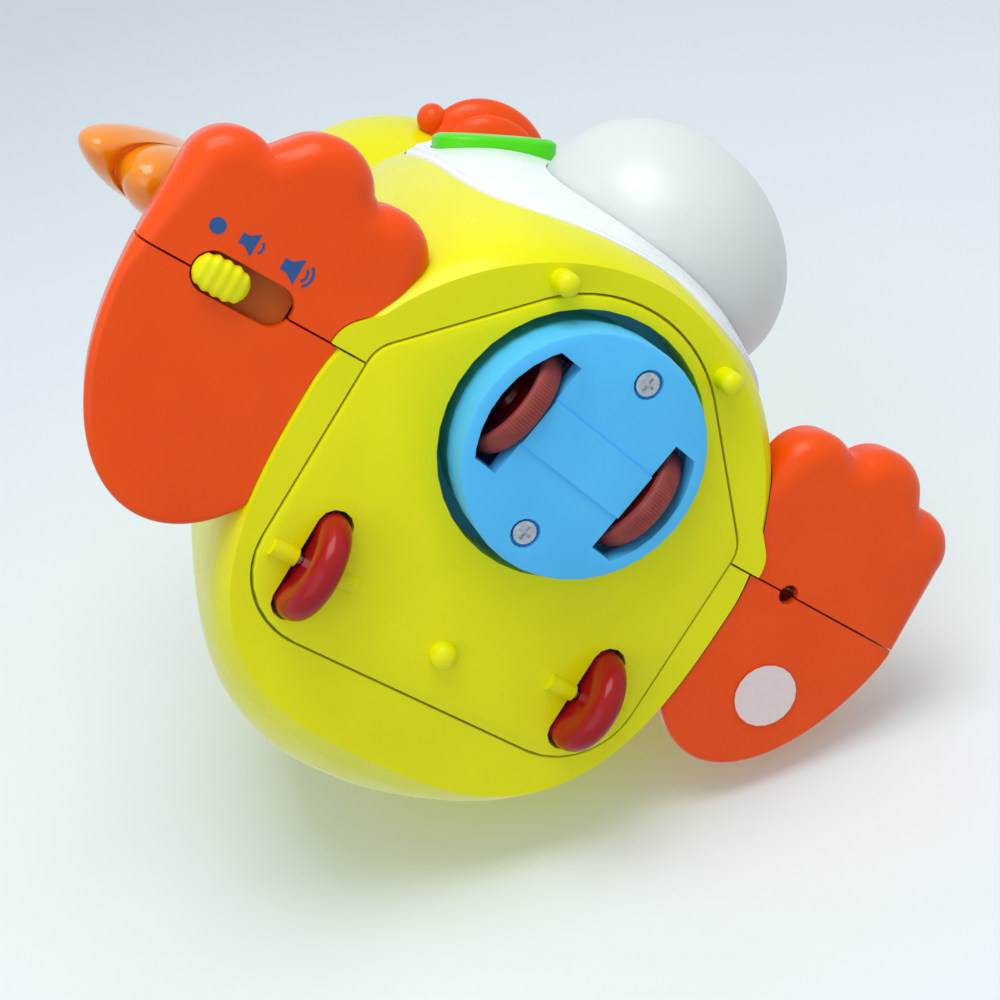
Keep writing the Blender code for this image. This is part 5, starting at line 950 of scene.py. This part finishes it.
def foot_form(side):
    """A solid foot: a rounded lower edge, then a low dome over it."""
    outline = foot_outline(side)
    toes = [toe_share(y) for _, y in outline]
    rounds = [HEEL_EDGE_ROUND + (TOE_EDGE_ROUND - HEEL_EDGE_ROUND) * t for t in toes]
    edges = [HEEL_EDGE_HEIGHT + (TOE_EDGE_HEIGHT - HEEL_EDGE_HEIGHT) * t for t in toes]
    levels = []
    for step in range(9):
        angle = math.pi / 2 * step / 8
        ring = inward(outline, [r * (1 - math.sin(angle)) for r in rounds])
        levels.append([(x, y, r * (1 - math.cos(angle))) for (x, y), r in zip(ring, rounds)])
    for step in range(1, 10):
        angle = math.pi / 2 * step / 10
        reach, rise = math.cos(angle), math.sin(angle)
        tops = zip(outline, edges)
        levels.append([(x * reach, y * reach, edge + (FOOT_TOP - edge) * rise) for (x, y), edge in tops])
    turn = LEFT_FOOT_TURN if side > 0 else 0.0
    c, s = math.cos(turn), math.sin(turn)
    cx, cy = side * FOOT_SIDE, FOOT_BACK - side * FOOT_STEP
    rings = []
    for level in levels:
        ring = []
        for x, y, z in level:
            ring.append(at(cx + side * (x * c - y * s), cy + x * s + y * c, FOOT_UP + z))
        rings.append(ring)
    return loft(rings, "foot_form")


def foot_cavity(side):
    """The hollow over the foot's floor."""
    x, y = side * FOOT_SIDE, FOOT_BACK - side * FOOT_STEP + FOOT_HALF_WIDTH / 9
    across, along = FOOT_CAVITY["half_width"], FOOT_CAVITY["half_length"]
    angles = [math.tau * i / 72 for i in range(72)]
    points = [(x + across * math.cos(a), y + along * math.sin(a)) for a in angles]
    floor = FOOT_UP + FOOT_FLOOR
    return slab_flat(points, floor, floor + FOOT_CAVITY["height"])


def make_feet():
    """Both feet, each in a front and a rear half that meet at the body's seam."""
    for side, label in ((-1, "right"), (1, "left")):
        foot = foot_form(side)
        cut(foot, body_form(-GAP), rim_corner(side, GAP), foot_cavity(side))
        if side < 0:
            outer, inner, back, half = SLIDER_SLOT
            points = arc((inner - half, back), half, -math.pi / 2, math.pi / 2, 24)
            points += arc((outer + half, back), half, math.pi / 2, 1.5 * math.pi, 24)
            cut(foot, slab_flat(points, -CUT_PAST, FOOT_UP + FOOT_FLOOR + SLIDER_SLOT_DEPTH))
        else:
            x, radius = FOOT_HOLE
            cut(foot, rod(at(x, SEAM_BACK, -CUT_PAST), at(x, SEAM_BACK, FOOT_TOP / 2), radius))
        front = keep(twin(foot), front_region())
        rear = keep(foot, rear_region())
        made(front, label + "_foot_front_form", "orange_plastic", "body", label + "_foot_front", angle=40)
        made(rear, label + "_foot_rear_form", "orange_plastic", "body", label + "_foot_rear", angle=40)


def make_panel():
    """The white panel: it fills its window and stands a little proud, with a softened edge."""
    low_edge = slab_across(panel_window(), -SPAN / 2, -BODY_FRONT / 3)
    high_edge = slab_across(panel_window(-PANEL_PROUD), -SPAN / 2, -BODY_FRONT / 3)
    panel = keep(body_form(-PANEL_PROUD / 3), low_edge)
    join(panel, keep(body_form(-PANEL_PROUD), high_edge))
    hole = loft([button_ring(1.0, GAP, -BUTTON_SKIRT), button_ring(1.0, GAP, BUTTON_PROUD * 2)], "hole")
    cut(panel, body_form(WALL), globe_form(GAP), hole)
    made(panel, "chest_panel_form", "white_plastic", "body", "chest_panel")


def make_button():
    """The soft-edged green button."""
    rings = [button_ring(1.0, 0, -BUTTON_SKIRT), button_ring(1.0, 0, BUTTON_PROUD * 0.45)]
    for step in range(1, 9):
        angle = math.pi / 2 * step / 9
        reach = 1 - 0.2 * (1 - math.cos(angle))
        rings.append(button_ring(reach, 0, BUTTON_PROUD * (0.45 + 0.5 * math.sin(angle))))
    rings.append(button_ring(0.45, 0, BUTTON_PROUD * 1.02))
    made(loft(rings, "button"), "music_button_form", "green_plastic", "button", "music_button", angle=50)


def make_globe():
    """The milky globe, thin walled and open behind the panel."""
    globe = globe_form()
    behind = box([-GLOBE_REACH] * 3, (GLOBE_REACH, GLOBE_REACH, -GLOBE_SINK))
    behind.data.transform(globe_matrix() @ Matrix.Translation(-at(0, 0, 0)))
    cut(globe, behind, globe_form(-GLOBE_WALL))
    made(globe, "light_globe_form", "milky_globe", "body", "light_globe")


def turn_head(piece):
    """Turns a piece with the head, about the neck."""
    middle = at(0, 0, 0)
    turn = Matrix.Translation(middle) @ Matrix.Rotation(HEAD_TURN, 4, "Z") @ Matrix.Translation(-middle)
    piece.data.transform(turn)
    return piece


def bill_part(shape):
    """One half of the bill."""
    turn = Matrix.Rotation(math.radians(shape["tilt"]), 4, "X")
    return ellipsoid(at(*shape["place"]), shape["radii"], turn, 64)


def make_head():
    """The head's two shells, its eyes and its bill, all turned a little to the duck's left."""
    whole = ellipsoid(at(0, 0, HEAD_UP), [HEAD_RADIUS] * 3, sides=128)
    join(whole, rod(at(0, 0, NECK_LOW), at(0, 0, HEAD_UP - HEAD_RADIUS + NECK_IN_HEAD), NECK_RADIUS))
    cut(whole, ellipsoid(at(0, 0, HEAD_UP), [HEAD_RADIUS - WALL] * 3))
    cut(whole, rod(at(0, 0, NECK_LOW - CUT_PAST), at(0, 0, HEAD_UP - HEAD_RADIUS / 2), NECK_BORE))
    front = part_off(twin(whole), SEAM_BACK - SEAM_HALF_GAP, 1)
    rear = part_off(whole, SEAM_BACK + SEAM_HALF_GAP, -1)
    made(turn_head(front), "head_front_form", "yellow_plastic", "head", "head_front_shell")
    made(turn_head(rear), "head_rear_form", "yellow_plastic", "head", "head_rear_shell")
    upper = bill_part(BILL)
    for side in (1, -1):
        corner = at(side * MOUTH_CORNER["side"], -MOUTH_CORNER["forward"], MOUTH_CORNER["up"])
        join(upper, ellipsoid(corner, [MOUTH_CORNER["radius"]] * 3, sides=40))
    lower = bill_part(LOWER_BILL)
    for part in (upper, lower):
        cut(part, ellipsoid(at(0, 0, HEAD_UP), [HEAD_RADIUS - BILL_SEAT] * 3))
    made(turn_head(upper), "bill_upper_form", "orange_plastic", "head", "bill_upper", angle=60)
    made(turn_head(lower), "bill_lower_form", "orange_plastic", "head", "bill_lower", angle=60)
    for side, label in ((-1, "right"), (1, "left")):
        x, z = side * EYE["side"], EYE["up"]
        depth = math.sqrt(HEAD_RADIUS**2 - x**2 - z**2)
        way = Vector((x, -depth, z)).normalized()
        turn = way.to_track_quat("-Y", "Z").to_matrix().to_4x4()
        eye = ellipsoid(at(x, -depth, HEAD_UP + z), EYE["radii"], turn, 48)
        made(turn_head(eye), "eye_" + label + "_form", "black_plastic", "head", "eye_" + label)


def groove_depth(x, z, heart, notches):
    """How deep the grooves between the feathers are here, deepest near the outline."""
    depth = 0.0
    for notch in notches:
        way = Vector(notch) - Vector(heart)
        offset = Vector((x, z)) - Vector(heart)
        along = offset.dot(way) / way.length_squared
        if along > 0.1:
            across = (offset - way * along).length
            depth = max(depth, min(along, 1.0) * math.exp(-((across / FEATHER_GROOVE_WIDTH) ** 2)))
    return depth


def make_wing(side, label):
    """A puffy three-feathered wing with its arm and hub."""
    span, height = WING_TIP - WING_ROOT, WING_TOP - WING_BOTTOM
    heart = (WING_ROOT + WING_HEART_SHARE[0] * span, WING_BOTTOM + WING_HEART_SHARE[1] * height)
    notches = [(WING_ROOT + u * span, WING_BOTTOM + v * height) for u, v in FEATHER_NOTCHES]
    outline = through_points(WING_OUTLINE_SHARES, 5)
    rings = []
    count = 26
    for step in range(count + 1):
        angle = math.pi * (step / count - 0.5)
        depth, reach = math.sin(angle), 0.04 + 0.95 * max(math.cos(angle), 0) ** 0.45
        ring = []
        for out_share, up_share in outline:
            x, z = WING_ROOT + out_share * span, WING_BOTTOM + up_share * height
            x, z = heart[0] + (x - heart[0]) * reach, heart[1] + (z - heart[1]) * reach
            out = (x - WING_ROOT) / span
            half = WING_HALF_THICK * (1 - (1 - WING_TIP_THICK_SHARE) * abs(2 * out - 1) ** 2)
            half *= 1 - FEATHER_GROOVE * groove_depth(x, z, heart, notches)
            ring.append(at(side * x, SEAM_BACK - WING_FORWARD - WING_SWEEP * out + depth * half, z))
        rings.append(ring)
    wing = loft(rings, "wing")
    pivot, up = WING_PIVOT
    tab_end = WING_ROOT + span * WING_TAB_REACH_SHARE
    low, middle, high = WING_TAB_LEVELS
    tab = [(pivot, up - WING_HUB_RADIUS), (tab_end, low), (tab_end, middle)]
    tab += [(WING_ROOT, high), (pivot, up + WING_HUB_RADIUS)]
    front, back = SEAM_BACK - WING_HUB_HALF, SEAM_BACK + WING_HUB_HALF
    arm = slab_across([(side * x, z) for x, z in tab], front, back)
    hub = rod(at(side * pivot, front, up), at(side * pivot, back, up), WING_HUB_RADIUS)
    pin_ends = [at(side * pivot, SEAM_BACK + way * WING_PIN_HALF, up) for way in (-1, 1)]
    ends = sorted((side * (pivot - WING_LEVER_LENGTH), side * pivot))
    lever_low = (ends[0], SEAM_BACK - WING_LEVER_HALF, up - WING_LEVER_HALF_HEIGHT)
    lever_high = (ends[1], SEAM_BACK + WING_LEVER_HALF, up + WING_LEVER_HALF_HEIGHT)
    join(wing, arm, hub, rod(*pin_ends, WING_PIN_RADIUS), box(lever_low, lever_high))
    made(wing, "wing_" + label + "_form", "clear_orange", label + "_wing", "wing_" + label, angle=45)


def in_drive():
    """The drive unit's own frame, turned about the disc's centre."""
    return Matrix.Translation(at(0, 0, 0)) @ Matrix.Rotation(DRIVE_TURN, 4, "Z")


def make_drive_wheel(side, label):
    """A drive wheel: a finely ribbed soft tread round a glossy dished hub."""
    inner, outer = DRIVE_WHEEL_SPAN
    middle, half = (inner + outer) / 2, (outer - inner) / 2
    radius = DRIVE_WHEEL_RADIUS
    # across the wheel from its inner side to its outer side, then the radius, and whether the rib shows
    profile = [
        (-half, DRIVE_BORE, 0),
        (-half, radius - 2.0, 0),
        (-half, radius - 0.7, 0),
        (-half * 0.8, radius - 0.2, 1),
        (0, radius, 1),
        (half * 0.8, radius - 0.2, 1),
        (half, radius - 0.7, 0),
        (half, radius - 1.6, 0),
        (half - 0.9, radius - 2.4, 0),
        (half - 1.2, radius - 4.5, 0),
        (half - 1.2, 3.6, 0),
        (half - 0.1, 3.1, 0),
        (half - 0.1, DRIVE_BORE, 0),
    ]
    steps = KNURLS * 4
    aside = Matrix.Translation(Vector((side * middle, 0, DRIVE_AXLE_UP)) * MM)
    place = in_drive() @ aside @ Matrix.Rotation(side * math.pi / 2, 4, "Y")
    rings = []
    for i in range(steps):
        angle = math.tau * i / steps
        rise = (0.0, 0.8, 1.0, 0.8)[i % 4]
        ring = []
        for across, reach, ribbed in profile:
            r = reach - KNURL_DEPTH * ribbed * (1 - rise)
            ring.append(place @ (Vector((r * math.cos(angle), r * math.sin(angle), across)) * MM))
        rings.append(ring)
    wheel = loft(rings, "drive_wheel", closed=True)
    node = "drive_wheel_" + label
    made(wheel, node + "_form", "maroon_plastic", "drive_wheels", node, angle=50)
    wheel.data.materials.append(HUB_FINISH)
    hub_from = place.inverted()
    for face in wheel.data.polygons:
        spot = hub_from @ face.center / MM
        if math.hypot(spot.x, spot.y) < radius - TREAD_SIDE:
            face.material_index = 1


def make_rear_wheel(side, label):
    """A solid little wheel with a fully rounded rim and a shallow dish on both sides."""
    crown, half = REAR_WHEEL_RADIUS - REAR_WHEEL_HALF, REAR_WHEEL_HALF
    profile = [(REAR_BORE, half * 0.8), (crown * 0.55, half * 0.8), (crown * 0.75, half * 0.95)]
    for i in range(17):
        angle = math.pi / 2 - math.pi * i / 16
        profile.append((crown + half * math.cos(angle), half * math.sin(angle)))
    profile += [(r, -h) for r, h in reversed(profile[:3])]
    middle = Matrix.Translation(at(side * REAR_WHEEL_SIDE, REAR_WHEEL_BACK, 0))
    place = middle @ Matrix.Rotation(math.pi / 2, 4, "Y")
    rings = []
    for i in range(96):
        c, s = math.cos(math.tau * i / 96), math.sin(math.tau * i / 96)
        rings.append([place @ (Vector((r * c, r * s, h)) * MM) for r, h in profile])
    wheel = loft(rings, "rear_wheel", closed=True)
    node = "rear_wheel_" + label
    made(wheel, node + "_form", "red_plastic", label + "_rear_wheel", node, angle=50)


def make_slider():
    """The ribbed yellow knob, and the sliding strip that closes the slot behind it, in a brown that is
    painted shade.
    """
    middle, half_length = (KNOB_LEFT + KNOB_RIGHT) / 2, (KNOB_RIGHT - KNOB_LEFT) / 2
    rings = []
    count = 60
    for i in range(count + 1):
        along = -math.cos(math.pi * i / count)
        x = middle + along * half_length
        taper = max(1 - abs(along) ** 3.2, 0.0004) ** (1 / 2.2)
        rib = 0.5 + 0.5 * math.cos(math.tau * (x - middle) / KNOB_RIB_PITCH)
        swell = 1 + KNOB_RIB_SHARE * rib * (abs(along) < 0.86)
        ring = []
        for j in range(40):
            c, s = math.cos(math.tau * j / 40), math.sin(math.tau * j / 40)
            y = KNOB_HALF_WIDTH * taper * swell * math.copysign(abs(c) ** 0.7, c)
            z = KNOB_HALF_HEIGHT * taper * (1 + (swell - 1) * 0.6) * math.copysign(abs(s) ** 0.7, s)
            ring.append(at(x, KNOB_BACK + y, KNOB_UP + z))
        rings.append(ring)
    knob = loft(rings, "slider")
    made(knob, "volume_slider_form", "yellow_plastic", "slider", "volume_slider", angle=60)
    strip_low = (KNOB_LEFT - STRIP_PAST_KNOB[0], KNOB_BACK - STRIP_HALF_WIDTH, STRIP_LEVELS[0])
    strip_high = (KNOB_RIGHT + STRIP_PAST_KNOB[1], KNOB_BACK + STRIP_HALF_WIDTH, STRIP_LEVELS[1])
    strip = box(strip_low, strip_high)
    made(strip, "slider_strip", "orange_plastic", "slider")
    # the strip's brown finish is painted shade for the yellow strip lying in the shadowed slot
    strip.data.materials[0] = STRIP_PAINTED_SHADE_FINISH


def flat_mark(points, name):
    """A thin printed shape on the right foot's underside."""
    print_form = slab_flat(points, FOOT_UP - MARK_THICK[0], FOOT_UP + MARK_THICK[1])
    made(print_form, name, "blue_plastic", "body").data.materials[0] = INK_FINISH


def speaker_mark(x, y, size, waves, name):
    """A plain loudspeaker sign: a cone that opens towards its waves, and the waves beside it."""
    cone = [(-1.0, -0.45), (-0.45, -0.45), (0.35, -1.0), (0.35, 1.0), (-0.45, 0.45), (-1.0, 0.45)]
    flat_mark([(x + u * size, y + v * size) for u, v in cone], name + "_cone")
    for i in range(waves):
        radius, thick = size * (0.50 + 0.40 * i), size * 0.21
        middle = (x + 0.35 * size, y)
        outer = arc(middle, radius + thick, -0.9, 0.9, 12)
        inner = arc(middle, radius, -0.9, 0.9, 12)
        flat_mark(outer + list(reversed(inner)), name + "_wave_" + str(i + 1))


def make_marks():
    """The printed volume signs beside the slider: off, low and high."""
    x, y, radius = MARK_DOT
    flat_mark(arc((x, y), radius, 0, math.tau * 35 / 36, 36), "mark_off")
    speaker_mark(*MARK_LOW, 1, "mark_low")
    speaker_mark(*MARK_HIGH, 2, "mark_high")


SLOT_NODES = {
    "yellow_plastic": ["base_plate", "battery_cover"],
    "blue_plastic": ["drive_cap"],
    "steel": ["drive_screw_front", "drive_screw_rear"],
    "label_paper": ["foot_label"],
}
for slot_name, node_names in SLOT_NODES.items():
    for node_name in node_names:
        smoothed(node_name, slot_name)


make_body_shells()
make_feet()
make_panel()
make_button()
make_globe()
make_head()
for side_sign, side_label in ((-1, "right"), (1, "left")):
    make_wing(side_sign, side_label)
    make_drive_wheel(side_sign, side_label)
    make_rear_wheel(side_sign, side_label)
make_slider()
make_marks()


def dress_rest():
    """The pieces inside keep their CAD solids and take the finish that their slot names."""
    for node, obj in frame["nodes"].items():
        if obj.hide_render:
            continue
        for index, old in enumerate(obj.data.materials):
            slot = old.name.split(".")[0]
            if slot in FINISHES:
                obj.data.materials[index] = FINISHES[slot]
            else:
                print("no finish for", node, old.name)


dress_rest()


def floor_material():
    """A sheet of white board, shown from its upper side only and fading out far from the toy."""
    material, tree, place = new_material("matt_white_board")
    light_path = add(tree, "ShaderNodeLightPath")
    facing = add(tree, "ShaderNodeNewGeometry")
    upper = add(tree, "ShaderNodeMath", {0: 1.0, 1: facing.outputs["Backfacing"]}, operation="SUBTRACT")
    both = {0: upper.outputs[0], 1: light_path.outputs["Is Camera Ray"]}
    seen = add(tree, "ShaderNodeMath", both, operation="MULTIPLY")
    distance = add(tree, "ShaderNodeVectorMath", {0: place}, operation="LENGTH")
    fade_limits = {
        "Value": distance.outputs["Value"],
        "From Min": FLOOR_FADE_START * MM,
        "From Max": FLOOR_FADE_END * MM,
        "To Min": 1.0,
        "To Max": 0.0,
    }
    fade = add(tree, "ShaderNodeMapRange", fade_limits, interpolation_type="SMOOTHSTEP")
    near = {0: seen.outputs[0], 1: fade.outputs["Result"]}
    shown = add(tree, "ShaderNodeMath", near, operation="MULTIPLY")
    board = add(
        tree,
        "ShaderNodeBsdfPrincipled",
        {"Base Color": mottled(tree, place, "#E9F2F7", "#E6F0F6", patch=160), "Roughness": 0.9, "IOR": 1.4},
    )
    clear = add(tree, "ShaderNodeBsdfTransparent")
    mixed = add(tree, "ShaderNodeMixShader", {0: shown.outputs[0], 1: clear.outputs[0], 2: board.outputs[0]})
    return finish_material(material, tree, mixed)


def make_floor():
    """The flat surface that the toy lies on."""
    form = bmesh.new()
    bmesh.ops.create_grid(form, x_segments=1, y_segments=1, size=FLOOR_SIZE / 2 * MM)
    mesh = bpy.data.meshes.new("floor")
    form.to_mesh(mesh)
    form.free()
    mesh.materials.append(floor_material())
    floor = link(bpy.data.objects.new("floor", mesh))
    middle = at(*TOY_MIDDLE)
    foot = middle - FLOOR_NORMAL * (FLOOR_DEPTH * MM + middle.dot(FLOOR_NORMAL))
    floor.matrix_world = Matrix.Translation(foot) @ FLOOR_NORMAL.to_track_quat("Z", "Y").to_matrix().to_4x4()


make_floor()


def make_lamp(name, right, up, toward, size, power, colour):
    """A square soft box, placed in millimetres along the camera's own axes from the toy's middle."""
    lamp = bpy.data.lights.new(name, "AREA")
    lamp.shape = "SQUARE"
    lamp.size = size * MM
    lamp.energy = power
    lamp.color = linear(colour)[:3]
    holder = link(bpy.data.objects.new(name, lamp))
    offset = CAMERA_RIGHT * right - CAMERA_DOWN * up - CAMERA_AHEAD * toward
    place = at(*TOY_MIDDLE) + offset * MM
    holder.matrix_world = Matrix.Translation(place) @ offset.to_track_quat("Z", "Y").to_matrix().to_4x4()


make_lamp("key_lamp", -100, 560, 480, 460, 3.2, "#FFFDF8")
make_lamp("fill_lamp", -360, -160, 640, 600, 1.0, "#F6FAFF")


def make_world():
    """Soft light from all round, and a pale backdrop for what the camera, gloss and glass see."""
    world = bpy.data.worlds.new("studio")
    world.use_nodes = True
    tree = world.node_tree
    tree.nodes.clear()
    light_path = add(tree, "ShaderNodeLightPath")
    seen = light_path.outputs["Is Camera Ray"]
    for kind in ("Is Glossy Ray", "Is Transmission Ray"):
        either = {0: seen, 1: light_path.outputs[kind]}
        seen = add(tree, "ShaderNodeMath", either, operation="MAXIMUM").outputs[0]
    ambient = add(tree, "ShaderNodeBackground", {"Color": linear("#F6FAFF"), "Strength": 0.62})
    backdrop = add(tree, "ShaderNodeBackground", {"Color": linear("#DCE9F2"), "Strength": 1.0})
    mixed = add(tree, "ShaderNodeMixShader", {0: seen, 1: ambient.outputs[0], 2: backdrop.outputs[0]})
    add(tree, "ShaderNodeOutputWorld", {"Surface": mixed.outputs[0]})
    bpy.context.scene.world = world


make_world()


def make_camera():
    """The photograph's camera."""
    camera = bpy.data.cameras.new("camera")
    camera.lens = CAMERA_LENS
    camera.sensor_width = CAMERA_SENSOR
    camera.clip_start = 0.01
    holder = link(bpy.data.objects.new("camera", camera))
    turn = Matrix((CAMERA_RIGHT, -CAMERA_DOWN, -CAMERA_AHEAD)).transposed().to_4x4()
    holder.matrix_world = Matrix.Translation(at(*CAMERA_PLACE)) @ turn
    bpy.context.scene.camera = holder


make_camera()
bpy.context.scene.view_settings.view_transform = "Standard"
